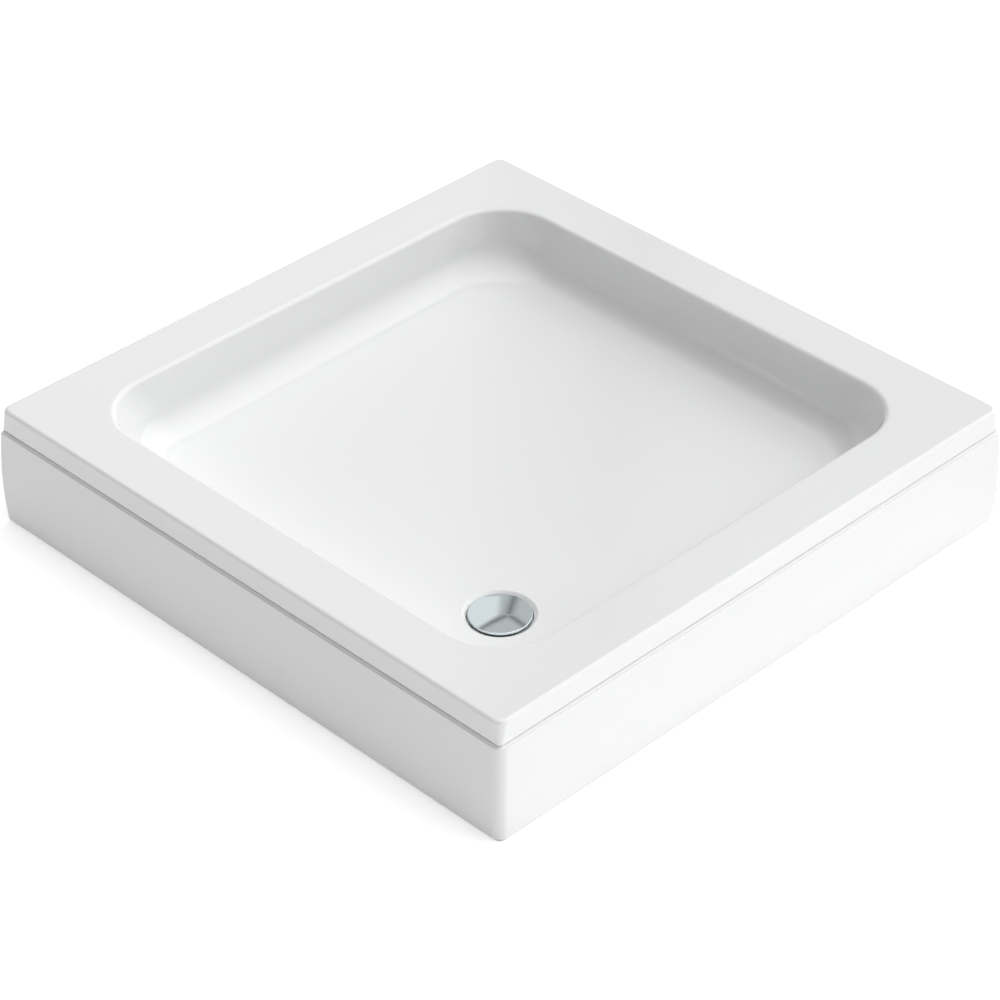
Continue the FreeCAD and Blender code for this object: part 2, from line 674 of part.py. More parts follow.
def make_rails():
    """Three channel rails under the board, and their screws."""
    half = "Places.rail_half"
    width = "Sizes.rail_width / 2"
    wall = "Sizes.rail_wall"
    for label, row in (("front", -1), ("middle", 0), ("back", 1)):
        middle = f"{row} * Places.rail_offset"
        outer = sloping_block(
            f"rail_{label}_outer",
            (f"-{half}", half),
            (f"{middle} - {width}", f"{middle} + {width}"),
            "Places.rail_bottom_depth",
            "Sizes.rail_height",
        )
        inner = sloping_block(
            f"rail_{label}_inner",
            (f"-{half} - {PAST}", f"{half} + {PAST}"),
            (f"{middle} - {width} + {wall}", f"{middle} + {width} - {wall}"),
            f"Places.rail_bottom_depth - {wall}",
            "Sizes.rail_height",
        )
        tools = [inner]
        for name, side in LEG_POSITIONS.items():
            if side[1] == row:
                x, y = leg_place(side)
                hole = rod_shape(f"rail_rod_{name}", "Sizes.rail_rod_hole / 2", "0", "Places.rim_top", x, y)
                tools.append(hole)
        for name, x, y in rail_screw_places():
            if y.startswith(f"{row} "):
                seat = floor_height(x, y, "Places.rail_bottom_depth")
                tools.append(screw_hole(f"rail_{name}", x, y, seat, "wood_screw", "Sizes.rail_height"))
        node(cut(f"rail_{label}", outer, tools), f"support_rail_{label}")
    screws = []
    for name, x, y in rail_screw_places():
        seat = floor_height(x, y, "Places.rail_bottom_depth")
        screws.append(screw(f"rail_screw_{name}", x, y, seat, "wood_screw", "Sizes.rail_height"))
    group("rail_screws", screws)


# ------------------------------------------------------------ adjustable legs
def hex_nut(name, x, y, z):
    """A hexagon nut round a threaded rod."""
    body = new_body(name, x, y, z)
    flat = "Sizes.nut_flats / 2"
    point = "Sizes.nut_flats / sqrt(3)"
    corners = [
        (point, "0"),
        (f"{point} / 2", flat),
        (f"-{point} / 2", flat),
        (f"-{point}", "0"),
        (f"-{point} / 2", f"-{flat}"),
        (f"{point} / 2", f"-{flat}"),
    ]
    sketch = outline(body, name + "_hexagon", "XY_Plane", corners)
    add_circle(sketch, "Sizes.rod_diameter / 2 + Sizes.nut_clearance")
    pad(body, sketch, "Sizes.nut_height")
    return body


def make_leg(name, side):
    """One threaded rod with its foot and pad, and the two nuts that grip the rail."""
    x, y = leg_place(side)
    radius = "Sizes.rod_diameter / 2"
    chamfer = "Sizes.rod_chamfer"
    rod = [
        ("0", "Sizes.rod_seat"),
        (f"{radius} - {chamfer}", "Sizes.rod_seat"),
        (radius, f"Sizes.rod_seat + {chamfer}"),
        (radius, f"Places.rod_top - {chamfer}"),
        (f"{radius} - {chamfer}", "Places.rod_top"),
        ("0", "Places.rod_top"),
    ]
    node(turned(f"rod_{name}", rod, x, y), f"leg_rod_{name}")
    bore = f"{radius} + Sizes.nut_clearance"
    foot = [
        ("0", "Sizes.pad_thickness"),
        ("Sizes.foot_diameter / 2", "Sizes.pad_thickness"),
        ("Sizes.foot_diameter / 2", "Sizes.pad_thickness + Sizes.foot_plate"),
        ("Sizes.foot_neck / 2", "Sizes.foot_shoulder"),
        ("Sizes.foot_neck / 2", "Places.foot_top"),
        (bore, "Places.foot_top"),
        (bore, "Sizes.rod_seat"),
        ("0", "Sizes.rod_seat"),
    ]
    node(turned(f"foot_{name}", foot, x, y), f"leg_foot_{name}")
    pad_points = [
        ("0", "0"),
        ("Sizes.pad_diameter / 2 - Sizes.pad_edge", "0"),
        ("Sizes.pad_diameter / 2", "Sizes.pad_edge"),
        ("Sizes.pad_diameter / 2", "Sizes.pad_thickness"),
        ("0", "Sizes.pad_thickness"),
    ]
    node(turned(f"pad_{name}", pad_points, x, y), f"foot_pad_{name}")
    web = floor_height(x, y, "Places.rail_bottom_depth")
    below = hex_nut(f"nut_below_{name}", x, y, f"{web} - Sizes.nut_seat_gap - Sizes.nut_height")
    above = hex_nut(f"nut_above_{name}", x, y, f"{web} + Sizes.rail_wall + Sizes.nut_seat_gap")
    group(f"leg_nuts_{name}", [below, above])


# ----------------------------------------------------------------- the apron
def bowed_form(name, inset, low, high):
    """A block with two bowed faces, set in from the apron's outside by a distance."""
    far = "2 * Places.half_side"
    corner = block(
        name + "_block",
        (f"-{far}", f"Places.apron_face - ({inset})"),
        (f"-Places.apron_face + ({inset})", far),
        (low, high),
    )
    radius = f"Places.bow_radius - ({inset})"
    middle = "Sizes.apron_height / 2"
    front = lying_rod(
        name + "_front", radius, f"2 * {far}", f"-{far}", "-Places.bow_centre", middle, (0, 1, 0), 90
    )
    side = lying_rod(
        name + "_side", radius, f"2 * {far}", "Places.bow_centre", far, middle, (1, 0, 0), 90
    )
    sharp = common(name + "_sharp", [corner, front, side])

    def upright_corner(edge):
        return standing(edge) and all(abs(point.x + point.y) < TOUCH for point in points_on(edge))

    return rounded(name, sharp, upright_corner, f"Sizes.apron_corner - ({inset})")


def make_apron_panel():
    """The L-shaped apron: two bowed faces with flanges turned in at top and bottom."""
    thickness = "Sizes.apron_thickness"
    outer = bowed_form("apron_outer", "0", "0", "Sizes.apron_height")
    inner = bowed_form("apron_inner", thickness, thickness, f"Sizes.apron_height - {thickness}")
    flange = "(Places.apron_edge - Sizes.apron_flange)"
    far = "3 * Places.half_side"
    full_height = (f"-{PAST}", f"Sizes.apron_height + {PAST}")
    column = block("apron_column", (f"-{far}", flange), (f"-{flange}", far), full_height)
    end = "(Places.half_side - Sizes.apron_end_setback)"
    left = block("apron_past_left", (f"-{far}", f"-{end}"), (f"-{far}", far), full_height)
    back = block("apron_past_back", (f"-{far}", far), (end, far), full_height)
    sheet = cut("apron_sheet", outer, [inner, column, left, back])
    at_top = at_height("Sizes.apron_height")
    inner_limit = number("Places.apron_edge - Sizes.apron_corner * (1 - sqrt(1/2))") - TOUCH

    def outer_top_edge(edge):
        return at_top(edge) and all(max(point.x, -point.y) > inner_limit for point in points_on(edge))

    node(rounded("apron", sheet, outer_top_edge, "Sizes.apron_edge_radius"), "apron_panel")


def make_apron_battens():
    """Timber battens glued behind the apron's edges, two along each face."""
    heights = {
        "top": ("Places.batten_top - Sizes.batten_height", "Places.batten_top"),
        "bottom": ("Sizes.apron_thickness", "Sizes.apron_thickness + Sizes.batten_height"),
    }
    for level, z in heights.items():
        front = block(
            f"batten_front_{level}_bar",
            ("-Places.batten_wall_end", "Places.batten_corner_end"),
            ("-Places.batten_face", "-Places.batten_back"),
            z,
        )
        side = block(
            f"batten_side_{level}_bar",
            ("Places.batten_back", "Places.batten_face"),
            ("-Places.batten_corner_end", "Places.batten_wall_end"),
            z,
        )
        for name, bar in (("front", front), ("side", side)):
            if level == "top":
                bar = cut(f"batten_{name}_holes", bar, strike_screws(name, True))
            node(bar, f"apron_batten_{name}_{level}")


# ---------------------------------------------------------- magnetic catches
def along_side(name, along, outward):
    """Expressions for x and y from a place along a side and one out from the middle."""
    return (along, f"-({outward})") if name == "front" else (outward, along)


def catch_places():
    """The four catches: name, side and place along it."""
    for name in ("front", "side"):
        for number_along, sign in ((1, -1), (2, 1)):
            yield f"{name}_{number_along}", name, f"{sign} * Places.catch_spread"


def side_block(label, name, along, half_width, inner, outer, z):
    """A box along one apron side, between two distances out from the middle."""
    low, high = f"{along} - {half_width}", f"{along} + {half_width}"
    if name == "front":
        return block(label, (low, high), (f"-({outer})", f"-({inner})"), z)
    return block(label, (inner, outer), (low, high), z)


def strike_screw_place(along, sign):
    """Expression for the place of one of a strike plate's two screws along its side."""
    reach = "((Sizes.strike_length - Sizes.small_screw_head) / 2 - Sizes.strike_screw_margin)"
    return f"{along} + {sign} * {reach}"


def strike_screws(name, as_holes):
    """Two lying screws through each strike plate into its batten, or their holes."""
    shapes = []
    axis, turn = ((1, 0, 0), 90) if name == "front" else ((0, 1, 0), 90)
    height = "Places.block_bottom - Sizes.magnet_below_block"
    head_face = "Places.batten_back - Sizes.strike_thickness"
    for label, side, along in catch_places():
        if side != name:
            continue
        for sign in (-1, 1):
            place = strike_screw_place(along, sign)
            key = f"strike_{label}_{sign + 1}"
            room = "Sizes.screw_clearance" if as_holes else "0"
            start = f"{head_face} - Sizes.screw_seat_gap"
            if as_holes:
                start = f"{head_face} - {PAST}"
            x, y = along_side(name, place, start)
            length = f"Places.batten_back + Sizes.small_screw_bite + {room} - ({start})"
            shank = lying_rod(
                key + ("_hole" if as_holes else "_shank"),
                f"Sizes.small_screw_diameter / 2 + {room}",
                length,
                x,
                y,
                height,
                axis,
                turn,
            )
            if as_holes:
                shapes.append(shank)
                continue
            x, y = along_side(name, place, f"{start} - Sizes.small_screw_head_height")
            head = lying_rod(
                key + "_head",
                "Sizes.small_screw_head / 2",
                "Sizes.small_screw_head_height",
                x,
                y,
                height,
                axis,
                turn,
            )
            shapes.append(fuse(key, [head, shank]))
    return shapes


def make_catches():
    """Timber blocks under the rim with brackets and magnets, and the apron's strike plates."""
    bracket_screws = []
    for label, name, along in catch_places():
        z = ("Places.block_bottom", "Places.block_bottom + Sizes.block_height")
        timber = side_block(
            f"block_{label}_bar",
            name,
            along,
            "Sizes.block_length / 2",
            "Places.block_front - Sizes.block_depth",
            "Places.block_front",
            z,
        )
        screw_out = "Places.bracket_face - Sizes.bracket_screw_reach"
        screw_sites = []
        for sign in (-1, 1):
            place = f"{along} + {sign} * Sizes.bracket_screw_spread"
            screw_sites.append((f"bracket_{label}_{sign + 1}", *along_side(name, place, screw_out)))
        seat = "Places.block_bottom - Sizes.bracket_sheet"
        through = "Sizes.bracket_sheet"
        holes = [
            screw_hole(key + "_block", x, y, seat, "small_screw", through)
            for key, x, y in screw_sites
        ]
        node(cut(f"block_{label}", timber, holes), f"rim_block_{label}")
        flat = side_block(
            f"bracket_{label}_flat",
            name,
            along,
            "Sizes.bracket_width / 2",
            "Places.bracket_face - Sizes.bracket_reach",
            "Places.bracket_face",
            (seat, "Places.block_bottom"),
        )
        leg = side_block(
            f"bracket_{label}_leg",
            name,
            along,
            "Sizes.bracket_width / 2",
            "Places.bracket_face - Sizes.bracket_sheet",
            "Places.bracket_face",
            ("Places.block_bottom - Sizes.bracket_drop", "Places.block_bottom"),
        )
        holes = [screw_hole(key + "_flat", x, y, seat, "small_screw", through) for key, x, y in screw_sites]
        angle = cut(f"bracket_{label}", fuse(f"bracket_{label}_angle", [flat, leg]), holes)
        node(angle, f"panel_bracket_{label}")
        bracket_screws += [screw(key, x, y, seat, "small_screw", through) for key, x, y in screw_sites]
        height = "Places.block_bottom - Sizes.magnet_below_block"
        x, y = along_side(name, along, "Places.bracket_face")
        axis, turn = ((1, 0, 0), 90) if name == "front" else ((0, 1, 0), 90)
        magnet = lying_rod(
            f"magnet_{label}",
            "Sizes.magnet_diameter / 2",
            "Sizes.magnet_thickness",
            x,
            y,
            height,
            axis,
            turn,
        )
        node(magnet, f"catch_magnet_{label}")
        strike = side_block(
            f"strike_{label}_plate",
            name,
            along,
            "Sizes.strike_length / 2",
            "Places.batten_back - Sizes.strike_thickness",
            "Places.batten_back",
            (f"{height} - Sizes.strike_height / 2", f"{height} + Sizes.strike_height / 2"),
        )
        node(cut(f"strike_{label}", strike, strike_holes(name, along, label)), f"strike_plate_{label}")
    group("bracket_screws", bracket_screws)
    group("strike_screws", strike_screws("front", False) + strike_screws("side", False))


def strike_holes(name, along, label):
    """The two screw holes of one strike plate."""
    axis, turn = ((1, 0, 0), 90) if name == "front" else ((0, 1, 0), 90)
    holes = []
    for sign in (-1, 1):
        place = strike_screw_place(along, sign)
        x, y = along_side(name, place, f"Places.batten_back - Sizes.strike_thickness - {PAST}")
        holes.append(
            lying_rod(
                f"strike_{label}_{sign + 1}_plate_hole",
                "Sizes.small_screw_diameter / 2 + Sizes.screw_clearance",
                f"Sizes.strike_thickness + 2 * {PAST}",
                x,
                y,
                "Places.block_bottom - Sizes.magnet_below_block",
                axis,
                turn,
            )
        )
    return holes


# ------------------------------------------------------------------ the waste
def make_waste_flange():
    """Flange with its threaded spigot, and the seals on both sides of the tray."""
    x, y = "Places.waste_x", "Places.waste_y"
    throat = "Sizes.throat_diameter / 2"
    spigot = "Sizes.spigot_diameter / 2"
    outer = "Sizes.flange_diameter / 2"
    rebate = f"{throat} + Sizes.insert_rebate_wall"
    spigot_end = "Places.flange_bottom - Sizes.spigot_length"
    profile = [
        (throat, spigot_end),
        (spigot, spigot_end),
        (spigot, "Places.flange_bottom"),
        (outer, "Places.flange_bottom"),
        (outer, "Places.flange_top"),
        (rebate, "Places.flange_top"),
        (rebate, "Places.rebate_floor"),
        (throat, "Places.rebate_floor"),
    ]
    node(turned("flange", profile, x, y), "waste_flange")
    upper = ring(
        "seal_upper",
        "Sizes.waste_hole / 2",
        outer,
        "Places.seat_top",
        "Places.flange_bottom",
        x,
        y,
    )
    node(upper, "upper_seal")
    lower = ring(
        "seal_lower",
        "Sizes.waste_hole / 2",
        "Sizes.lower_seal_diameter / 2",
        "Places.trap_top",
        "Places.seat_underside",
        x,
        y,
    )
    node(lower, "lower_seal")


def make_trap_body():
    """Trap body with its outlet socket towards the wall at -X."""
    x, y = "Places.waste_x", "Places.waste_y"
    outer = "Sizes.trap_diameter / 2"
    inner = f"{outer} - Sizes.trap_wall"
    neck_end = "Places.trap_top - Sizes.trap_neck_length"
    neck_outer = "Places.neck_radius + Sizes.trap_neck_wall"
    ceiling = "Places.trap_top - Sizes.trap_flange_thickness - Sizes.trap_wall"
    profile = [
        ("0", "Places.trap_base"),
        (outer, "Places.trap_base"),
        (outer, "Places.trap_top - Sizes.trap_flange_thickness"),
        ("Sizes.trap_flange_diameter / 2", "Places.trap_top - Sizes.trap_flange_thickness"),
        ("Sizes.trap_flange_diameter / 2", "Places.trap_top"),
        ("Places.neck_radius", "Places.trap_top"),
        ("Places.neck_radius", neck_end),
        (neck_outer, neck_end),
        (neck_outer, ceiling),
        (inner, ceiling),
        (inner, "Places.trap_base + Sizes.trap_wall"),
        ("0", "Places.trap_base + Sizes.trap_wall"),
    ]
    bowl = turned("trap_bowl", profile, x, y)
    socket = lying_rod(
        "trap_socket",
        "Sizes.outlet_bore / 2 + Sizes.outlet_wall",
        f"Places.outlet_face - ({inner})",
        f"{x} - ({inner})",
        y,
        "Places.outlet_axis",
        (0, 1, 0),
        -90,
    )
    room = rod_shape("trap_room", inner, "Places.trap_base + Sizes.trap_wall", ceiling, x, y)
    bore = lying_rod(
        "trap_socket_bore",
        "Sizes.outlet_bore / 2",
        f"Sizes.outlet_socket_length + {PAST}",
        f"{x} - Places.outlet_face + Sizes.outlet_socket_length",
        y,
        "Places.outlet_axis",
        (0, 1, 0),
        -90,
    )
    stop = lying_rod(
        "trap_stop_bore",
        "Sizes.outlet_stop / 2",
        "Places.outlet_face",
        x,
        y,
        "Places.outlet_axis",
        (0, 1, 0),
        -90,
    )
    hollow_socket = cut("trap_hollow_socket", socket, [room, bore, stop])
    open_bowl = cut("trap_open_bowl", bowl, [stop])
    node(fuse("trap", [open_bowl, hollow_socket]), "trap_body")


def make_outlet():
    """Union nut with its grip ribs, and the pipe seal inside it."""
    x, y = "Places.waste_x", "Places.waste_y"
    face = f"{x} - Places.outlet_face"
    start = f"{face} + Sizes.outlet_nut_overlap"
    outer = "Sizes.outlet_nut_diameter / 2 - Sizes.outlet_rib_depth"
    inner = "Sizes.outlet_bore / 2 + Sizes.outlet_wall + Sizes.outlet_nut_clearance"
    axis = (0, 1, 0)

    def along(name, radius, length, from_x):
        return lying_rod(name, radius, length, from_x, y, "Places.outlet_axis", axis, -90)

    sleeve = along("nut_sleeve", outer, "Sizes.outlet_nut_length", start)
    foot = "(Sizes.outlet_nut_diameter / 2 - 2 * Sizes.outlet_rib_depth)"
    half = "Sizes.outlet_rib_width / 2"
    ribs = []
    for index in range(GRIP_RIBS):
        angle = 360.0 * index / GRIP_RIBS
        rib = block(
            f"nut_rib_{index}",
            (f"{start} - Sizes.outlet_nut_length", start),
            (f"-{half}", half),
            (foot, "Sizes.outlet_nut_diameter / 2"),
        )
        across = f"-{foot} * sin({angle} deg) - {half} * cos({angle} deg)"
        upward = f"{foot} * cos({angle} deg) - {half} * sin({angle} deg)"
        put(rib, f"{start} - Sizes.outlet_nut_length", f"{y} + ({across})",
            f"Places.outlet_axis + ({upward})", angle, (1, 0, 0))
        ribs.append(rib)
    before = f"{start} + {PAST}"
    nut_length = "Sizes.outlet_nut_length"
    clear = along("nut_clear", inner, f"{nut_length} - Sizes.outlet_nut_lip + {PAST}", before)
    bore = along("nut_bore", "Sizes.outlet_nut_bore / 2", f"{nut_length} + 2 * {PAST}", before)
    node(cut("nut", fuse("nut_outside", [sleeve] + ribs), [clear, bore]), "outlet_nut")
    seal_radius = "(Sizes.outlet_bore / 2 + Sizes.outlet_wall)"
    seal_length = "Sizes.outlet_seal_length"
    seal = along("pipe_seal_outside", seal_radius, seal_length, face)
    bore_length = f"{seal_length} + 2 * {PAST}"
    seal_bore = along(
        "pipe_seal_bore", "Sizes.outlet_seal_bore / 2", bore_length, f"{face} + {PAST}"
    )
    node(cut("pipe_seal", seal, [seal_bore]), "outlet_seal")


def make_odour_trap():
    """The lift-out insert: dip tube, its sealing ring, and the cup that holds the water."""
    x, y = "Places.waste_x", "Places.waste_y"
    tube = "Sizes.dip_tube_diameter / 2"
    inside = f"{tube} - Sizes.dip_tube_wall"
    collar = "Sizes.collar_diameter / 2"
    rim = "Sizes.throat_diameter / 2 + Sizes.insert_rebate_wall - Sizes.insert_rim_clearance"
    section = "Sizes.o_ring_section / 2"
    ring_centre = f"(Sizes.throat_diameter / 2 - Sizes.o_ring_gap - {section})"
    ring_height = "(Places.rebate_floor - Sizes.o_ring_drop)"
    groove = f"{ring_centre} - {section} - Sizes.groove_play"
    groove_half = f"({section} + Sizes.groove_play)"
    collar_bottom = "Places.rebate_floor - Sizes.collar_height"
    profile = [
        (inside, "Places.dip_tube_end"),
        (tube, "Places.dip_tube_end"),
        (tube, collar_bottom),
        (collar, collar_bottom),
        (collar, f"{ring_height} - {groove_half}"),
        (groove, f"{ring_height} - {groove_half}"),
        (groove, f"{ring_height} + {groove_half}"),
        (collar, f"{ring_height} + {groove_half}"),
        (collar, "Places.rebate_floor"),
        (rim, "Places.rebate_floor"),
        (rim, "Places.flange_top"),
        (inside, "Places.flange_top"),
    ]
    node(turned("dip", profile, x, y), "dip_tube")
    torus = document.addObject("Part::Torus", "sealing_ring")
    torus.setExpression("Radius1", ring_centre)
    torus.setExpression("Radius2", section)
    node(put(torus, x, y, ring_height), "dip_tube_seal")
    outer = "Sizes.cup_diameter / 2"
    hollow = f"{outer} - Sizes.cup_wall"
    cup = turned(
        "cup_form",
        [
            ("0", "Places.cup_base"),
            (outer, "Places.cup_base"),
            (outer, "Places.cup_rim"),
            (hollow, "Places.cup_rim"),
            (hollow, "Places.cup_base + Sizes.cup_wall"),
            ("0", "Places.cup_base + Sizes.cup_wall"),
        ],
        x,
        y,
    )
    reach = f"{hollow} + Sizes.cup_wall / 2"
    seat = f"({tube} + Sizes.rib_seat_gap)"
    half = "Sizes.cup_rib / 2"
    ribs = []
    for index in range(CUP_RIBS):
        angle = 360.0 * index / CUP_RIBS
        rib = block(
            f"cup_rib_{index}",
            (seat, reach),
            (f"-{half}", half),
            ("Places.cup_rim - Sizes.cup_rib_height", "Places.cup_rim"),
        )
        east = f"{x} + {seat} * cos({angle} deg) + {half} * sin({angle} deg)"
        north = f"{y} + {seat} * sin({angle} deg) - {half} * cos({angle} deg)"
        put(rib, east, north, "Places.cup_rim - Sizes.cup_rib_height", angle)
        ribs.append(rib)
    node(fuse("cup", [cup] + ribs), "trap_cup")


def make_cover():
    """The domed cover disc, with the cross web that centres it in the dip tube."""
    x, y = "Places.waste_x", "Places.waste_y"
    radius = "Sizes.cover_diameter / 2"
    disc = rod_shape(
        "cover_disc", radius, "Places.cover_bottom", "Places.waste_floor + 2 * Sizes.cover_crown", x, y
    )
    dome = document.addObject("Part::Sphere", "cover_dome")
    dome.setExpression("Radius", "Places.cover_sphere")
    put(dome, x, y, "Places.waste_floor + Sizes.cover_crown - Places.cover_sphere")
    document.recompute()
    plate = common("cover_plate", [disc, dome])
    edge_reach = number(radius) - TOUCH

    def rim_edge(edge):
        middle = Vector(number(x), number(y), 0)
        return all(
            math.hypot(point.x - middle.x, point.y - middle.y) > edge_reach for point in points_on(edge)
        ) and not standing(edge)

    plate = rounded("cover_rounded", plate, rim_edge, "Sizes.cover_edge_radius")
    plug = "Sizes.dip_tube_diameter / 2 - Sizes.dip_tube_wall - Sizes.cover_web_clearance"
    bars = []
    for index in range(2):
        for part, reach, low in (
            ("plug", plug, "Places.flange_top - Sizes.cover_web_drop"),
            ("shoulder", "Sizes.cover_shoulder", "Places.flange_top"),
        ):
            half_web = "Sizes.cover_web / 2"
            long_x, long_y = (half_web, reach) if index else (reach, half_web)
            spans = (
                (f"{x} - ({long_x})", f"{x} + ({long_x})"),
                (f"{y} - ({long_y})", f"{y} + ({long_y})"),
            )
            high = "Places.cover_bottom + Sizes.cover_web / 4"
            bars.append(block(f"cover_{part}_{index}", *spans, (low, high)))
    node(fuse("cover", [plate] + bars), "waste_cover")


# ------------------------------------------------------------------- checking
def check_document():
    """Stop if any object failed or any piece is not a valid, closed solid."""
    for thing in document.Objects:
        if {"Invalid", "Error"} & set(thing.State):
            raise RuntimeError(f"{thing.Name} failed: {thing.State}")
    for thing in nodes:
        shape = thing.Shape
        if shape.isNull() or not shape.isValid() or not shape.Solids:
            raise RuntimeError(f"{thing.Label} has no valid solid")


def export_nodes():
    """Write one STEP file per node."""
    os.makedirs("parts", exist_ok=True)
    for thing in nodes:
        thing.Shape.exportStep(f"parts/{thing.Label}.step")
        volume = thing.Shape.Volume / 1000.0
        print(f"{thing.Label}: {len(thing.Shape.Solids)} solid(s), {volume:.1f} cm3")


fill_sheets()
make_tray_shell()
make_laminate()
make_base_board()
make_rails()
for leg_name, leg_side in LEG_POSITIONS.items():
    make_leg(leg_name, leg_side)
make_apron_panel()
make_apron_battens()
make_catches()
make_waste_flange()
make_trap_body()
make_outlet()
make_odour_trap()
make_cover()
document.recompute()
check_document()
export_nodes()
print(f"{len(nodes)} nodes")
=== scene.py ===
"""A square shower tray with its apron, legs and waste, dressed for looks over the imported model.

Tray shell, laminate, apron, cover, rods, nuts, feet, magnets and screws are new surfaces
worked out with numpy as functions of two parameters. The other solids are copies of the
model's own meshes, merged, cleaned and given soft edges. Metres, +Z up, in the model's frame:
the walls of the room stand at -X and +Y, and the apron closes the sides at -Y and +X.
"""
import json
import logging
from collections.abc import Callable, Iterator, Sequence
from dataclasses import dataclass, field
from enum import Enum
from math import cos, hypot, pi, radians, sin, sqrt, tan

import bmesh
import bpy
import numpy as np
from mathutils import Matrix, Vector


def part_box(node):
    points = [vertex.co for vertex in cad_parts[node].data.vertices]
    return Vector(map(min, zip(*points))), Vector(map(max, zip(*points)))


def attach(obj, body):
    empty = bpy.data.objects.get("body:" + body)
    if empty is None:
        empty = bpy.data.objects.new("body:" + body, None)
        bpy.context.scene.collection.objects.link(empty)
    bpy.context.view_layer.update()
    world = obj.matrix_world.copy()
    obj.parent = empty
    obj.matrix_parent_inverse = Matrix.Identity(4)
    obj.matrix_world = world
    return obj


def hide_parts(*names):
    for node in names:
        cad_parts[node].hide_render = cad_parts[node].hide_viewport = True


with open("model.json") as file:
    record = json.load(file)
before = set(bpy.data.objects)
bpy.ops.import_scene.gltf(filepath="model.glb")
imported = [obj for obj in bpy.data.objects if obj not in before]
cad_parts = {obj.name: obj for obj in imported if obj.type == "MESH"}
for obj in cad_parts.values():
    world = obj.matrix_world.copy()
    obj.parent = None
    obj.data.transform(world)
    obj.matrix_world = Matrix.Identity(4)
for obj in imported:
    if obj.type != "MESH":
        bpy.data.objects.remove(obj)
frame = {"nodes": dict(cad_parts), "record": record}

log = logging.getLogger("shower_tray")
Array = np.ndarray
Socket = bpy.types.NodeSocket
Pair = tuple[float, float]
Triple = tuple[float, float, float]

MM = 0.001
MERGE_WITHIN = 2e-6
SLIVER = 1e-7
FLAT_WITHIN = radians(0.3)
COPY_SHARP = radians(32)
BEVEL_FROM = radians(50)
FLOOR_FALL = 0.01
WASTE_PLACE = (220.0 * MM, -220.0 * MM)
COVER_CROWN = 1.6 * MM
SCREW_GAP = 0.15 * MM
WHITE = (1.0, 1.0, 1.0, 1.0)


# ------------------------------------------------------------------ surfaces
@dataclass
class Surface:
    """Points and faces that become one mesh."""

    points: Array
    faces: list[list[int]]

    def moved(self, place: Callable[[Array], Array]) -> "Surface":
        """The same faces over points moved by a function of the whole array."""
        return Surface(place(self.points), self.faces)

    @staticmethod
    def joined(parts: Sequence["Surface"]) -> "Surface":
        """Several surfaces as one, with each part's indices shifted past those before it.

        Args:
            parts: the surfaces, in order.

        Returns:
            One surface with all of their points and faces.
        """
        faces: list[list[int]] = []
        start = 0
        for part in parts:
            faces += [[index + start for index in face] for face in part.faces]
            start += len(part.points)
        return Surface(np.concatenate([part.points for part in parts]), faces)


def grid(points: Array, wrap_rows: bool = False, wrap_columns: bool = False) -> Surface:
    """Quads over a grid of points: corner (i, j) is point i * columns + j.

    Args:
        points: rows x columns x 3 places.
        wrap_rows: the last row joins the first.
        wrap_columns: the last column joins the first.

    Returns:
        The surface, open where it doesn't wrap.
    """
    rows, columns = points.shape[:2]
    i = np.arange(rows if wrap_rows else rows - 1)
    j = np.arange(columns if wrap_columns else columns - 1)
    i, j = (index.ravel() for index in np.meshgrid(i, j, indexing="ij"))
    down, right = (i + 1) % rows, (j + 1) % columns
    corners = (i * columns + j, i * columns + right, down * columns + right, down * columns + j)
    return Surface(points.reshape(-1, 3), np.stack(corners, axis=1).tolist())


def full_turn(count: int) -> Array:
    """Angles of evenly spaced samples round a full circle, the first at 0."""
    return np.linspace(0, 2 * pi, count, endpoint=False)


def round_places(radius: Array, angle: Array, height: Array) -> Array:
    """Places round the Z axis: x = r cos a, y = r sin a, z = h."""
    return np.stack([radius * np.cos(angle), radius * np.sin(angle), height + 0 * angle], axis=-1)


def make_piece(name: str, surface: Surface, sharp: float = 40.0) -> bpy.types.Object:
    """A mesh object with doubles merged, faces outward and smooth shading but for sharp edges.

    Args:
        name: the object's name.
        surface: its points and faces.
        sharp: edges that turn by more than this many degrees stay sharp.

    Returns:
        The object, at the origin and in the scene.
    """
    mesh = bpy.data.meshes.new(name)
    mesh.from_pydata(surface.points.tolist(), [], surface.faces)
    form = bmesh.new()
    form.from_mesh(mesh)
    bmesh.ops.remove_doubles(form, verts=form.verts, dist=MERGE_WITHIN)
    bmesh.ops.dissolve_degenerate(form, edges=form.edges, dist=SLIVER)
    bmesh.ops.recalc_face_normals(form, faces=form.faces)
    form.to_mesh(mesh)
    form.free()
    mesh.shade_smooth()
    mesh.set_sharp_from_angle(angle=radians(sharp))
    piece = bpy.data.objects.new(name, mesh)
    bpy.context.scene.collection.objects.link(piece)
    return piece


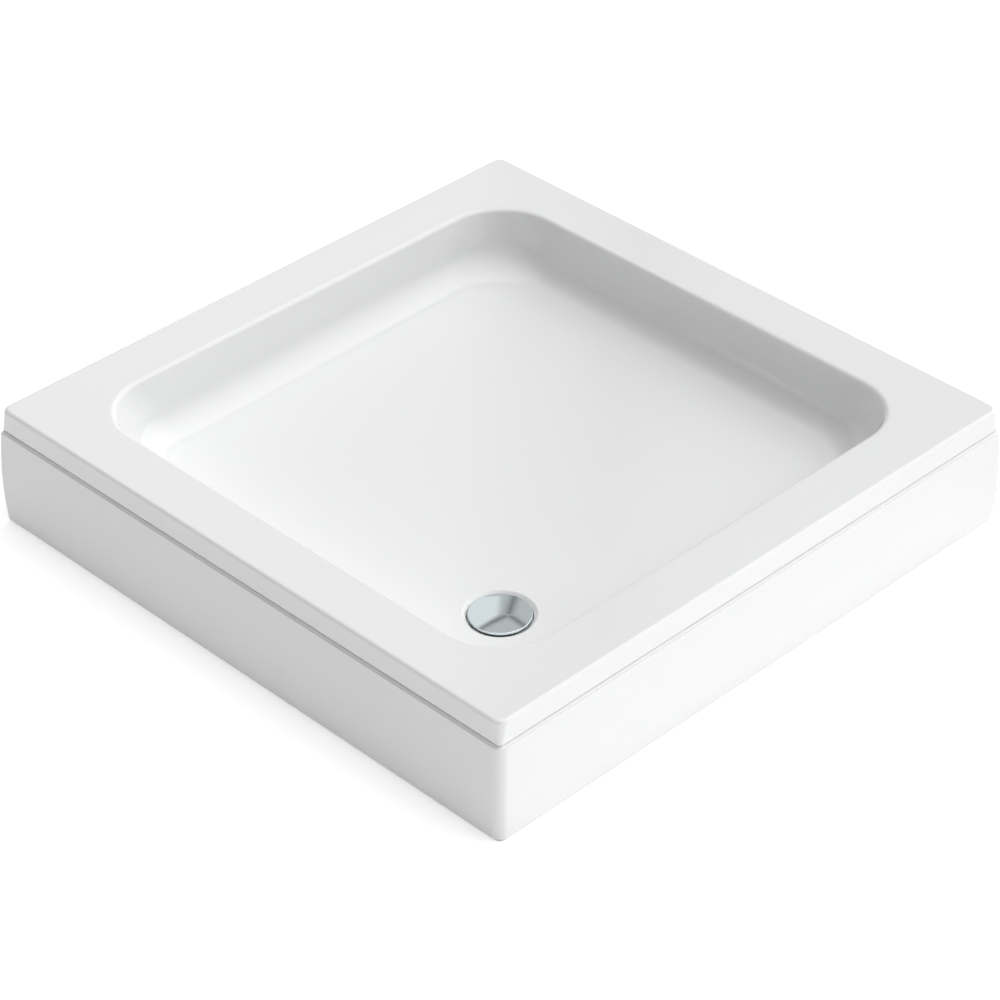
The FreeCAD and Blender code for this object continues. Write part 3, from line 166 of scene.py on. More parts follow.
def softened(node: str, edge: float, segments: int = 2) -> bpy.types.Object:
    """A copy of a model node with its triangles merged, flat areas joined and edges bevelled.

    Args:
        node: the model's node.
        edge: width of the bevel in metres, or 0 for none.
        segments: steps across the bevel.

    Returns:
        The copy, which still has to be told what it replaces.
    """
    name = node + "_dressed"
    mesh = frame["nodes"][node].data.copy()
    mesh.name = name
    mesh.materials.clear()
    form = bmesh.new()
    form.from_mesh(mesh)
    bmesh.ops.remove_doubles(form, verts=form.verts, dist=MERGE_WITHIN)
    bmesh.ops.dissolve_limit(form, angle_limit=FLAT_WITHIN, verts=form.verts, edges=form.edges)
    form.to_mesh(mesh)
    form.free()
    mesh.shade_smooth()
    mesh.set_sharp_from_angle(angle=COPY_SHARP)
    piece = bpy.data.objects.new(name, mesh)
    bpy.context.scene.collection.objects.link(piece)
    if edge:
        bevel = piece.modifiers.new("soft_edges", "BEVEL")
        bevel.width = edge
        bevel.segments = segments
        bevel.limit_method = "ANGLE"
        bevel.angle_limit = BEVEL_FROM
        bevel.harden_normals = True
    return piece


def unit(vectors: Array) -> Array:
    """Each vector divided by its length."""
    return vectors / np.linalg.norm(vectors, axis=-1, keepdims=True)


def rounding(start: Array, corner: Array, end: Array, steps: int) -> Array:
    """Circular roundings as rational quadratic curves from start to end round a corner.

    With t from 0 to 1, the weights are (1-t)^2, 2 w t (1-t) and t^2, where w is the sine of
    half the angle between the corner's two sides; sides of equal length give a true arc.

    Args:
        start: ... x 3 places where the roundings begin.
        corner: the sharp corners.
        end: where they end.
        steps: spans along each rounding.

    Returns:
        (steps + 1) x ... x 3 places.
    """
    cosine = np.sum(unit(start - corner) * unit(end - corner), axis=-1, keepdims=True)
    weight = np.sqrt((1 - cosine) / 2)
    t = np.linspace(0, 1, steps + 1).reshape((-1,) + (1,) * start.ndim)
    first, middle, last = (1 - t) ** 2, 2 * weight * t * (1 - t), t**2
    return (first * start + middle * corner + last * end) / (first + middle + last)


def soft_profile(
    points: Sequence[Pair], radii: Sequence[float], closed: bool = False, steps: int = 4
) -> Array:
    """An outline with each corner rounded by its own radius, and a point held near each arc.

    The tangent length is the radius over the tangent of half the angle between the corner's
    sides. One rounding takes at most 0.48 of a side, and the held point stays within 0.49 of it.

    Args:
        points: corners of the outline.
        radii: one radius for each corner, 0 for a sharp one.
        closed: the last corner joins the first; otherwise the two ends stay sharp.
        steps: spans along each rounding.

    Returns:
        n x 2 points.
    """
    corners = np.array(points, dtype=float)
    most, limit, extra = 0.48, 0.49, 0.25
    out = []
    for index, (corner, radius) in enumerate(zip(corners, radii)):
        ends = not closed and index in (0, len(corners) - 1)
        if ends or radius <= 0:
            out.append(corner[None])
            continue
        before = corners[index - 1] - corner
        after = corners[(index + 1) % len(corners)] - corner
        back, ahead = unit(before), unit(after)
        angle = np.arccos(np.clip(np.dot(back, ahead), -1, 1))
        side = min(np.linalg.norm(before), np.linalg.norm(after))
        reach = min(radius / tan(angle / 2), most * side)
        arc = rounding(corner + reach * back, corner, corner + reach * ahead, steps)
        hold = 1.0 + extra * min(1.0, limit * side / reach - 1)
        out.append(np.vstack([corner + hold * reach * back, arc, corner + hold * reach * ahead]))
    return np.vstack(out)


def turned(profile: Array, around: int = 64) -> Surface:
    """A profile of (radius, height) turned about Z: x = r cos a, y = r sin a, z = h.

    Args:
        profile: n x 2 points; radius 0 closes at a pole.
        around: samples round the axis.

    Returns:
        The surface round the Z axis.
    """
    places = round_places(profile[:, :1], full_turn(around), profile[:, 1:])
    return grid(places, wrap_columns=True)


def plate(outline: Array, thickness: float, edge: float) -> Surface:
    """A flat plate over an outline in X and Z, its rims chamfered by moving corners inwards.

    Each corner moves towards the outline's inside along the mean of its two sides' normals.

    Args:
        outline: n x 2 points, in order round the plate.
        thickness: along Y, centred on 0.
        edge: width of the chamfer.

    Returns:
        The closed surface.
    """
    forward = unit(np.roll(outline, -1, axis=0) - outline)
    normal = np.stack([-forward[:, 1], forward[:, 0]], axis=1)
    (x, z), (next_x, next_z) = outline.T, np.roll(outline, -1, axis=0).T
    inward = unit(normal + np.roll(normal, 1, axis=0)) * np.sign(np.sum(x * next_z - next_x * z))
    half = thickness / 2
    rows = []
    for inset, y in ((edge, -half), (0, edge - half), (0, half - edge), (edge, half)):
        flat = outline + inward * inset
        rows.append(np.stack([flat[:, 0], np.full(len(flat), y), flat[:, 1]], axis=1))
    sides = grid(np.array(rows), wrap_columns=True)
    count = len(outline)
    caps = [list(range(count)), list(range(3 * count, 4 * count))[::-1]]
    return Surface(sides.points, sides.faces + caps)


def pointed(axis: Triple, origin: Triple) -> Callable[[Array], Array]:
    """A function that turns +Z to an axis and then moves the origin: p = x U + y V + z W + O.

    Args:
        axis: the direction that +Z turns to.
        origin: where the origin goes.

    Returns:
        A function from points to moved points, for Surface.moved.
    """
    w = np.array(axis, dtype=float) / hypot(*axis)
    helper = (1.0, 0.0, 0.0) if abs(w[0]) < 0.9 else (0.0, 1.0, 0.0)
    v = unit(np.cross(w, helper))
    basis = np.stack([np.cross(v, w), v, w])
    return lambda points: points @ basis + np.array(origin, dtype=float)


# ------------------------------------------------------------------ finishes
class Pattern(Enum):
    """What the surface of a finish is made of."""

    GLOSS = "clear moulded sheet"
    MOULDED = "moulded plastic or rubber"
    STRANDS = "chopped glass strands in resin"
    CHIPS = "pressed wood chips"
    GRAIN = "planed softwood"
    SPANGLE = "zinc crystals"
    METAL = "turned or plated metal"


@dataclass(frozen=True)
class Finish:
    """One material: the record's slot, its colours and how it takes light."""

    slot: str
    pattern: Pattern
    color: Triple
    second: Triple
    roughness: Pair
    metallic: float = 0.0
    ior: float = 1.5
    scale: float = 60.0
    relief: float = 0.0001
    bump: float = 0.5


FINISHES = {
    finish.slot: finish
    for finish in (
        Finish(
            "tray_acrylic", Pattern.GLOSS, (0.90, 0.905, 0.905), (0.89, 0.895, 0.895),
            (0.02, 0.04), ior=1.6, scale=14, relief=0.00002,
        ),
        Finish(
            "apron_acrylic", Pattern.GLOSS, (0.90, 0.905, 0.905), (0.89, 0.895, 0.895),
            (0.04, 0.07), ior=1.6, scale=14, relief=0.00002,
        ),
        Finish(
            "glass_laminate", Pattern.STRANDS, (0.70, 0.68, 0.52), (0.86, 0.86, 0.76),
            (0.28, 0.55), scale=90, relief=0.0006,
        ),
        Finish(
            "chipboard", Pattern.CHIPS, (0.50, 0.35, 0.20), (0.74, 0.60, 0.40),
            (0.55, 0.8), scale=170, relief=0.0003,
        ),
        Finish(
            "softwood", Pattern.GRAIN, (0.72, 0.52, 0.30), (0.50, 0.30, 0.14),
            (0.45, 0.65), scale=1.0, relief=0.0002,
        ),
        Finish(
            "zinc_steel", Pattern.SPANGLE, (0.60, 0.62, 0.64), (0.46, 0.49, 0.52),
            (0.28, 0.46), metallic=1.0, scale=110, relief=0.00004,
        ),
        Finish(
            "screw_steel", Pattern.METAL, (0.66, 0.67, 0.66), (0.54, 0.54, 0.50),
            (0.22, 0.40), metallic=1.0, scale=420, relief=0.00004,
        ),
        Finish(
            "magnet_steel", Pattern.METAL, (0.48, 0.49, 0.51), (0.38, 0.38, 0.40),
            (0.25, 0.42), metallic=1.0, scale=300, relief=0.00005,
        ),
        Finish(
            "foot_plastic", Pattern.MOULDED, (0.030, 0.030, 0.033), (0.050, 0.050, 0.053),
            (0.42, 0.60), scale=900, relief=0.00006,
        ),
        Finish(
            "pad_rubber", Pattern.MOULDED, (0.018, 0.018, 0.018), (0.045, 0.043, 0.040),
            (0.65, 0.85), scale=500, relief=0.0001,
        ),
        Finish(
            "seal_rubber", Pattern.MOULDED, (0.022, 0.022, 0.023), (0.040, 0.040, 0.040),
            (0.50, 0.70), scale=400, relief=0.00008,
        ),
        Finish(
            "chrome_plate", Pattern.METAL, (0.765, 0.835, 0.855), (0.745, 0.815, 0.835),
            (0.015, 0.03), metallic=1.0, scale=60, relief=0.00001,
        ),
        Finish(
            "trap_plastic", Pattern.MOULDED, (0.80, 0.81, 0.80), (0.74, 0.75, 0.74),
            (0.30, 0.42), scale=700, relief=0.00005,
        ),
        Finish(
            "insert_plastic", Pattern.MOULDED, (0.32, 0.34, 0.37), (0.27, 0.29, 0.32),
            (0.32, 0.46), scale=700, relief=0.00005,
        ),
    )
}


class Sockets:
    """A node tree with short ways to add nodes and join their sockets."""

    def __init__(self, tree: bpy.types.NodeTree) -> None:
        """Keeps the tree."""
        self.tree = tree

    def add(self, kind: str, inputs: dict | None = None, **settings: object) -> bpy.types.Node:
        """A new node.

        Args:
            kind: the node's type without "ShaderNode".
            inputs: for each input socket, a value or a socket to join it to.
            settings: the node's own properties.

        Returns:
            The node.
        """
        node = self.tree.nodes.new("ShaderNode" + kind)
        for key, value in settings.items():
            setattr(node, key, value)
        return self.feed(node, inputs or {})

    def feed(self, node: bpy.types.Node, inputs: dict) -> bpy.types.Node:
        """Sets a node's inputs.

        Args:
            node: the node.
            inputs: for each input socket, a value or a socket to join it to.

        Returns:
            The same node.
        """
        for key, value in inputs.items():
            if isinstance(value, Socket):
                self.tree.links.new(value, node.inputs[key])
            else:
                node.inputs[key].default_value = value
        return node

    def ramp(self, value: Socket, low: object, high: object, **settings: object) -> Socket:
        """A value stretched so that low becomes 0 and high becomes 1, held to that range."""
        limits = {"Value": value, "From Min": low, "From Max": high}
        return self.add("MapRange", limits, **settings).outputs["Result"]

    def mixed(self, amount: object, first: object, second: object) -> Socket:
        """A colour between two, by an amount from 0 to 1."""
        node = self.add("Mix", {0: amount, 6: first, 7: second}, data_type="RGBA")
        return node.outputs[2]

    def math(self, operation: str, first: object, second: object = 0.0) -> Socket:
        """One sum on two values."""
        return self.add("Math", {0: first, 1: second}, operation=operation).outputs[0]


def new_group(
    name: str, inputs: dict[str, str], outputs: dict[str, str]
) -> tuple[Sockets, bpy.types.Node, bpy.types.Node]:
    """An empty shader node group with named sockets.

    Args:
        name: the group's name.
        inputs: name and type of each input, the type without "NodeSocket".
        outputs: the same for the outputs.

    Returns:
        The group's sockets helper, its input node and its output node.
    """
    tree = bpy.data.node_groups.new(name, "ShaderNodeTree")
    for direction, wanted in (("INPUT", inputs), ("OUTPUT", outputs)):
        for socket, kind in wanted.items():
            tree.interface.new_socket(name=socket, in_out=direction, socket_type="NodeSocket" + kind)
    made = Sockets(tree)
    return made, tree.nodes.new("NodeGroupInput"), tree.nodes.new("NodeGroupOutput")


def cloud_group() -> bpy.types.NodeTree:
    """Soft clouds over fine grain, for tint, gloss and relief that vary over a surface.

    Returns:
        A group from place, scale and grain to clouds and grain, each from 0 to 1.
    """
    made, given, out = new_group(
        "surface_clouds",
        {"Place": "Vector", "Scale": "Float", "Grain": "Float"},
        {"Clouds": "Float", "Grain": "Float"},
    )
    place, scale = given.outputs["Place"], given.outputs["Scale"]
    broad = made.add("TexNoise", {"Vector": place, "Scale": scale, "Detail": 3.0, "Roughness": 0.55})
    fine = made.add("TexNoise", {"Vector": place, "Scale": given.outputs["Grain"], "Detail": 2.0})
    clouds = made.ramp(broad.outputs["Fac"], 0.32, 0.68)
    made.tree.links.new(clouds, out.inputs["Clouds"])
    made.tree.links.new(fine.outputs["Fac"], out.inputs["Grain"])
    return made.tree


def streak_group() -> bpy.types.NodeTree:
    """Noise stretched along one axis: machining lines, wood fibres or strands by its stretch.

    Returns:
        A group from place, turn, stretch and two limits to streaks from 0 to 1.
    """
    made, given, out = new_group(
        "stretched_streaks",
        {"Place": "Vector", "Turn": "Vector", "Stretch": "Vector", "Low": "Float", "High": "Float"},
        {"Streaks": "Float"},
    )
    aim = {"Vector": given.outputs["Place"], "Rotation": given.outputs["Turn"]}
    along = made.add("VectorRotate", aim, rotation_type="EULER_XYZ").outputs[0]
    scaled = made.add("VectorMath", {0: along, 1: given.outputs["Stretch"]}, operation="MULTIPLY")
    noise = made.add("TexNoise", {"Vector": scaled.outputs[0], "Scale": 1.0, "Detail": 2.5, "Roughness": 0.6})
    streaks = made.ramp(noise.outputs["Fac"], given.outputs["Low"], given.outputs["High"])
    made.tree.links.new(streaks, out.inputs["Streaks"])
    return made.tree


def cell_group() -> bpy.types.NodeTree:
    """Broken cells with a value each and their borders, for zinc crystals and wood chips.

    Returns:
        A group from place, scale and bend to a value for each cell and 0 to 1 across its border.
    """
    made, given, out = new_group(
        "broken_cells",
        {"Place": "Vector", "Scale": "Float", "Bend": "Float"},
        {"Cell": "Float", "Border": "Float"},
    )
    place, scale, bend = (given.outputs[name] for name in ("Place", "Scale", "Bend"))
    noise = made.add("TexNoise", {"Vector": place, "Scale": scale, "Detail": 2.0})
    shift = made.add("VectorMath", {0: noise.outputs["Color"], "Scale": bend}, operation="SCALE")
    bent = made.add("VectorMath", {0: place, 1: shift.outputs[0]}, operation="ADD").outputs[0]
    cells = made.add("TexVoronoi", {"Vector": bent, "Scale": scale})
    edges = made.add("TexVoronoi", {"Vector": bent, "Scale": scale}, feature="DISTANCE_TO_EDGE")
    split = made.add("SeparateColor", {"Color": cells.outputs["Color"]})
    made.tree.links.new(split.outputs[0], out.inputs["Cell"])
    made.tree.links.new(made.ramp(edges.outputs["Distance"], 0.0, 0.12), out.inputs["Border"])
    return made.tree


class Paint:
    """Builds each finish once as a material.

    A stretch counts streaks to the metre along each axis; a bend is how far cells or rings are
    shifted by noise, in metres; limits are the noise values that become 0 and 1.
    """

    strand_turns = (0.2, 1.0, 1.9, 2.6)
    strand_limits = (0.56, 0.66)
    line_limits = (0.3, 0.7)
    chip_bend = 0.004
    crystal_bend = 0.006
    ring_bend = 0.012
    ring_waves = {"Scale": 62.0, "Distortion": 2.2, "Detail": 2.0, "Detail Scale": 1.4}
    ring_share = 0.6
    fibre_stretches = ((18.0, 900.0, 700.0), (900.0, 18.0, 700.0))
    fibre_limits = (0.35, 0.7)
    fibre_share = 0.35

    def __init__(self) -> None:
        """Makes the shared groups."""
        self.clouds = cloud_group()
        self.streaks = streak_group()
        self.cells = cell_group()
        self.ready: dict[str, bpy.types.Material] = {}

    def group(self, made: Sockets, tree: bpy.types.NodeTree, inputs: dict) -> bpy.types.Node:
        """A placed group with its inputs set."""
        return made.add("Group", inputs, node_tree=tree)

    def streak(
        self, made: Sockets, place: Socket, stretch: Triple, limits: Pair, turn: Triple = (0.0, 0.0, 0.0)
    ) -> Socket:
        """Streaks along the axis that is stretched least.

        Args:
            made: the material's sockets.
            place: object coordinates.
            stretch: streaks to the metre along each axis, roughly.
            limits: noise values that become 0 and 1.
            turn: angles that turn the streaks about X, Y and Z.

        Returns:
            A socket with values from 0 to 1.
        """
        given = {"Place": place, "Turn": turn, "Stretch": stretch, "Low": limits[0], "High": limits[1]}
        return self.group(made, self.streaks, given).outputs["Streaks"]

    def pattern(self, made: Sockets, finish: Finish, place: Socket) -> tuple[Socket, Socket, Socket]:
        """Colour amount, gloss amount and height of a finish's pattern.

        Args:
            made: the material's sockets.
            finish: the finish.
            place: object coordinates.

        Returns:
            Three sockets with values from 0 to 1.
        """
        size = finish.scale
        clouds = self.group(made, self.clouds, {"Place": place, "Scale": size / 10, "Grain": size})
        soft, grain = clouds.outputs["Clouds"], clouds.outputs["Grain"]
        if finish.pattern in (Pattern.GLOSS, Pattern.MOULDED):
            return soft, soft, grain
        if finish.pattern is Pattern.STRANDS:
            stretch = (size * 0.35, size * 12, size * 3)
            turns = ((turn / 3, turn / 2, turn) for turn in self.strand_turns)
            layers = [self.streak(made, place, stretch, self.strand_limits, turn) for turn in turns]
            strands = layers[0]
            for layer in layers[1:]:
                strands = made.math("MAXIMUM", strands, layer)
            return strands, soft, made.math("ADD", strands, grain)
        if finish.pattern is Pattern.CHIPS:
            chips = self.group(made, self.cells, {"Place": place, "Scale": size, "Bend": self.chip_bend})
            return chips.outputs["Cell"], soft, chips.outputs["Border"]
        if finish.pattern is Pattern.GRAIN:
            return self.wood(made, place, grain)
        if finish.pattern is Pattern.SPANGLE:
            given = {"Place": place, "Scale": size, "Bend": self.crystal_bend}
            crystal = self.group(made, self.cells, given).outputs["Cell"]
            return crystal, crystal, made.math("ADD", crystal, grain)
        lines = self.streak(made, place, (size, size, size * 5), self.line_limits)
        return soft, lines, lines

    def wood(self, made: Sockets, place: Socket, grain: Socket) -> tuple[Socket, Socket, Socket]:
        """Growth rings in layers one above another, with fibres along X and Y in turn.

        Args:
            made: the material's sockets.
            place: object coordinates.
            grain: fine noise for the height.

        Returns:
            Colour amount, gloss amount and height.
        """
        bend = self.group(made, self.clouds, {"Place": place, "Scale": 5.0, "Grain": 9.0})
        clouds = bend.outputs["Clouds"]
        shift = made.add("VectorMath", {0: clouds, "Scale": self.ring_bend}, operation="SCALE")
        bent = made.add("VectorMath", {0: place, 1: shift.outputs[0]}, operation="ADD").outputs[0]
        waves = {"Vector": bent, **self.ring_waves}
        rings = made.add("TexWave", waves, wave_type="BANDS", bands_direction="Z").outputs["Fac"]
        stretches, limits = self.fibre_stretches, self.fibre_limits
        first, second = (self.streak(made, place, stretch, limits) for stretch in stretches)
        fibre = made.math("MULTIPLY", first, second)
        dark = made.math("MULTIPLY", rings, self.ring_share)
        amount = made.math("ADD", dark, made.math("MULTIPLY", fibre, self.fibre_share))
        return amount, fibre, made.math("ADD", fibre, grain)

    def material(self, slot: str) -> bpy.types.Material:
        """The material of a slot, made when it is first asked for.

        Args:
            slot: the record's name for the material.

        Returns:
            The material.
        """
        if slot in self.ready:
            return self.ready[slot]
        finish = FINISHES[slot]
        material = bpy.data.materials.new(slot)
        material.use_nodes = True
        made = Sockets(material.node_tree)
        shader = material.node_tree.nodes["Principled BSDF"]
        place = made.add("TexCoord").outputs["Object"]
        tint, gloss, height = self.pattern(made, finish, place)
        low, high = finish.roughness
        limits = {"Value": gloss, "To Min": low, "To Max": high}
        bump = {"Height": height, "Strength": finish.bump, "Distance": finish.relief}
        inputs = {
            "Base Color": made.mixed(tint, (*finish.color, 1.0), (*finish.second, 1.0)),
            "Roughness": made.add("MapRange", limits).outputs["Result"],
            "Normal": made.add("Bump", bump).outputs["Normal"],
            "Metallic": finish.metallic,
            "IOR": finish.ior,
        }
        made.feed(shader, inputs)
        material.diffuse_color = (*finish.color, 1.0)
        self.ready[slot] = material
        return material


class Dresser:
    """Gives pieces their material and body, and hides and strikes off the nodes they replace."""

    def __init__(self) -> None:
        """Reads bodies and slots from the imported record."""
        self.paint = Paint()
        record = frame["record"]
        self.slots = {row["node"]: row["material_slot"] for row in record["subparts"]}
        self.bodies = {node: body for body, nodes in record["behaviour"]["bodies"].items() for node in nodes}
        self.left = dict.fromkeys(self.slots)

    def waiting(self, start: str) -> list[str]:
        """Nodes with no piece yet whose names begin with a word."""
        return [node for node in self.left if node.startswith(start)]

    def dress(self, piece: bpy.types.Object, *nodes: str) -> bpy.types.Object:
        """Finishes a piece that stands for one or more nodes of one body.

        Args:
            piece: the new object.
            nodes: the model's nodes that it replaces.

        Returns:
            The piece.
        """
        slot = self.slots[nodes[0]]
        piece.data.materials.clear()
        piece.data.materials.append(self.paint.material(slot))
        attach(piece, self.bodies[nodes[0]])
        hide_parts(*nodes)
        for node in nodes:
            self.left.pop(node)
        faces = len(piece.data.polygons)
        log.info("%s: %s on %s, %d faces", piece.name, slot, self.bodies[nodes[0]], faces)
        return piece


# ---------------------------------------------------------------- tray shell
@dataclass
class TrayForm:
    """The moulded form that shell and laminate share, as rings of rounded squares.

    A ring is (half - corner) * C + corner * N: C runs between the corners' signs and N is the
    outward normal, so straight sides and corner arcs keep the same samples at every height.
    """

    half_side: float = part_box("tray_shell")[1][0]
    rim_top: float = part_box("tray_shell")[1][2]
    boss_bottom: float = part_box("tray_shell")[0][2]
    lip_drop: float = 32.5 * MM
    sheet: float = 4.0 * MM
    rim_width: float = 78.0 * MM
    opening_corner: float = 85.5 * MM
    floor_corner: float = 108.0 * MM
    basin_depth: float = 86.4 * MM
    wall_lean: float = radians(12)
    floor_fall: float = FLOOR_FALL
    lip_edge: float = 5.3 * MM
    lip_corners: Pair = (5.0 * MM, 15.0 * MM)
    lip_start: float = 0.6 * MM
    lip_chamfer: float = 0.5 * MM
    lip_foot_corner: float = 4.6 * MM
    opening_edge: float = 8.0 * MM
    cove_sides: float = 38.06 * MM
    cove_corners: float = 45.5 * MM
    waste: Pair = WASTE_PLACE
    hole: float = 30.0 * MM
    well: float = 41.5 * MM
    bevel: float = 46.75 * MM
    bevel_depth: float = 4.0 * MM
    well_depth: float = 10.5 * MM
    boss: float = 45.5 * MM
    strip_start: float = 60.0 * MM
    arc_steps: int = 28
    side_steps: int = 40
    cove_steps: int = 16
    opening_steps: int = 10
    lip_steps: int = 8
    wall_shares: tuple[float, ...] = (0.03, 0.25, 0.5, 0.75, 0.97)
    rim_shares: tuple[float, ...] = (0.012, 0.35, 0.7, 0.988)
    strip_shares: tuple[float, ...] = (0.15, 0.35, 0.55, 0.75, 0.9, 0.985)

    def __post_init__(self) -> None:
        """Works out C, N and the share of each sample in its corner."""
        arc = np.linspace(0, pi / 2, self.arc_steps + 1)
        run = (1 - np.cos(pi * np.arange(1, self.side_steps) / self.side_steps)) / 2
        signs = [np.array((1.0, 1.0)), np.array((-1.0, 1.0)), np.array((-1.0, -1.0)), np.array((1.0, -1.0))]
        centres, normals, shares = [], [], []
        for index, sign in enumerate(signs):
            angle = arc + index * pi / 2
            after = signs[(index + 1) % 4]
            centres += [np.tile(sign, (len(arc), 1)), sign + run[:, None] * (after - sign)]
            end = (cos((index + 1) * pi / 2), sin((index + 1) * pi / 2))
            normals += [np.stack([np.cos(angle), np.sin(angle)], axis=1), np.tile(end, (len(run), 1))]
            shares += [np.sin(2 * arc) ** 2, np.zeros(len(run))]
        self.centres = np.concatenate(centres)
        self.normals = np.concatenate(normals)
        self.shares = np.concatenate(shares)

    def ring(self, half: object, corner: object, height: object) -> Array:
        """Places round a rounded square: (half - corner) * C + corner * N, at a height.

        Args:
            half: half its side.
            corner: radius of its corners.
            height: height of its places; each may be one value, one for a ring or one for a place.

        Returns:
            ... x samples x 3 places.
        """
        half, corner, height = np.broadcast_arrays(half, corner, height, np.zeros(len(self.shares)))[:3]
        plan = (half - corner)[..., None] * self.centres + corner[..., None] * self.normals
        return np.concatenate([plan, height[..., None]], axis=-1)

    def floor_at(self, x: Array, y: Array) -> Array:
        """Height of the floor's plane: middle height less fall * (x - y)."""
        return self.rim_top - self.basin_depth - self.floor_fall * (x - y)

    def wall_at(self, depth: object) -> Array:
        """Ring on the sharp wall: half shrinks by depth * tan(lean), corners grow with depth.

        Args:
            depth: below the rim's top, one value or one for each sample.

        Returns:
            samples x 3 places.
        """
        depth = np.asarray(depth, dtype=float)
        half = self.half_side - self.rim_width - depth * tan(self.wall_lean)
        growth = (self.floor_corner - self.opening_corner) / self.basin_depth
        return self.ring(half, self.opening_corner + growth * depth, self.rim_top - depth)

    def basin_rows(self) -> list[Array]:
        """Rings from the floor's edge up cove and wall, over the rim to the lip's lower edge.

        Returns:
            Blocks of rings, each rows x samples x 3: the cove from floor to wall, the wall's
            middle, the opening's edge, the rim with the lip's edge, and the lip's face.
        """
        depth = np.full(len(self.shares), self.basin_depth)
        for _ in range(4):
            foot = self.wall_at(depth)
            depth = self.rim_top - self.floor_at(foot[:, 0], foot[:, 1])
        foot, edge = self.wall_at(depth), self.wall_at(0.0)
        up = unit(edge - foot)
        out = np.column_stack([self.normals, np.zeros(len(foot))])
        reach = (self.cove_sides + (self.cove_corners - self.cove_sides) * self.shares)[:, None]
        inner = foot - reach * out
        inner[:, 2] = self.floor_at(inner[:, 0], inner[:, 1])
        wall_foot = foot + up * reach
        tangent = self.opening_edge * tan((pi / 2 - self.wall_lean) / 2)
        wall_head, rim_start = edge - up * tangent, edge + out * tangent
        rim_end, top, face = self.lip_rings()
        wall = np.array(self.wall_shares)[:, None, None]
        rim = np.array(self.rim_shares)[:, None, None]
        return [
            rounding(inner, foot, wall_foot, self.cove_steps),
            wall_foot + (wall_head - wall_foot) * wall,
            rounding(wall_head, edge, rim_start, self.opening_steps),
            rim_start + (rim_end - rim_start) * rim,
            rounding(rim_end, top, face[0], self.lip_steps),
            face[1:],
        ]

    def lip_rings(self) -> tuple[Array, Array, Array]:
        """The lip: its corners go from a wide radius at the top to a narrow one at the foot.

        Returns:
            The ring where the rim's flat ends, the sharp edge above the lip, and the rings down
            the lip's face.
        """
        low, high = self.lip_corners
        drop = self.lip_drop
        start, end = self.lip_edge + self.lip_start, drop - self.lip_chamfer
        fall = np.array((self.lip_edge, start, 0.45 * drop, end))[:, None]
        rim_end = self.ring(self.half_side - self.lip_edge, high - self.lip_edge, self.rim_top)
        top = self.ring(self.half_side, high, self.rim_top)
        face = self.ring(self.half_side, high + (low - high) * fall / drop, self.rim_top - fall)
        foot = self.ring(self.half_side - self.lip_chamfer, self.lip_foot_corner, self.rim_top - drop)
        return rim_end, top, np.concatenate([face, foot[None]])

    def waste_ring(self, profile: Array, angle: Array) -> Array:
        """Rings round the waste's axis: x = wx + r cos a, y = wy + r sin a, z = h + tilt.

        The tilt is the floor's fall at that place, all of it outside the bevel and none of it
        inside the well.

        Args:
            profile: n x 2 distances from the axis and heights.
            angle: the samples' angles round the axis.

        Returns:
            n x samples x 3 places.
        """
        radius, height = profile[:, :1], profile[:, 1:]
        x, y = self.waste[0] + radius * np.cos(angle), self.waste[1] + radius * np.sin(angle)
        share = np.clip((radius - self.well) / (self.bevel - self.well), 0, 1)
        tilt = -self.floor_fall * ((x - y) - (self.waste[0] - self.waste[1])) * share
        return np.stack([x, y, height + tilt], axis=-1)

    def offset(self, rows: Array, distance: float) -> Array:
        """Rings moved by a distance into the sheet, along the normals of the ring surface.

        Args:
            rows: rows x samples x 3 places.
            distance: how far they move.

        Returns:
            The moved places.
        """
        up = np.gradient(rows, axis=0)
        across = np.roll(rows, -1, axis=1) - np.roll(rows, 1, axis=1)
        normal = unit(np.cross(across, up))
        if normal[len(normal) // 2, 0, 2] > 0:
            normal = -normal
        return rows + distance * normal

    def strip(self, start: Array, end: Array) -> Array:
        """Straight rings between two rings, closer together at the outer one."""
        return start + (end - start) * np.array(self.strip_shares)[:, None, None]


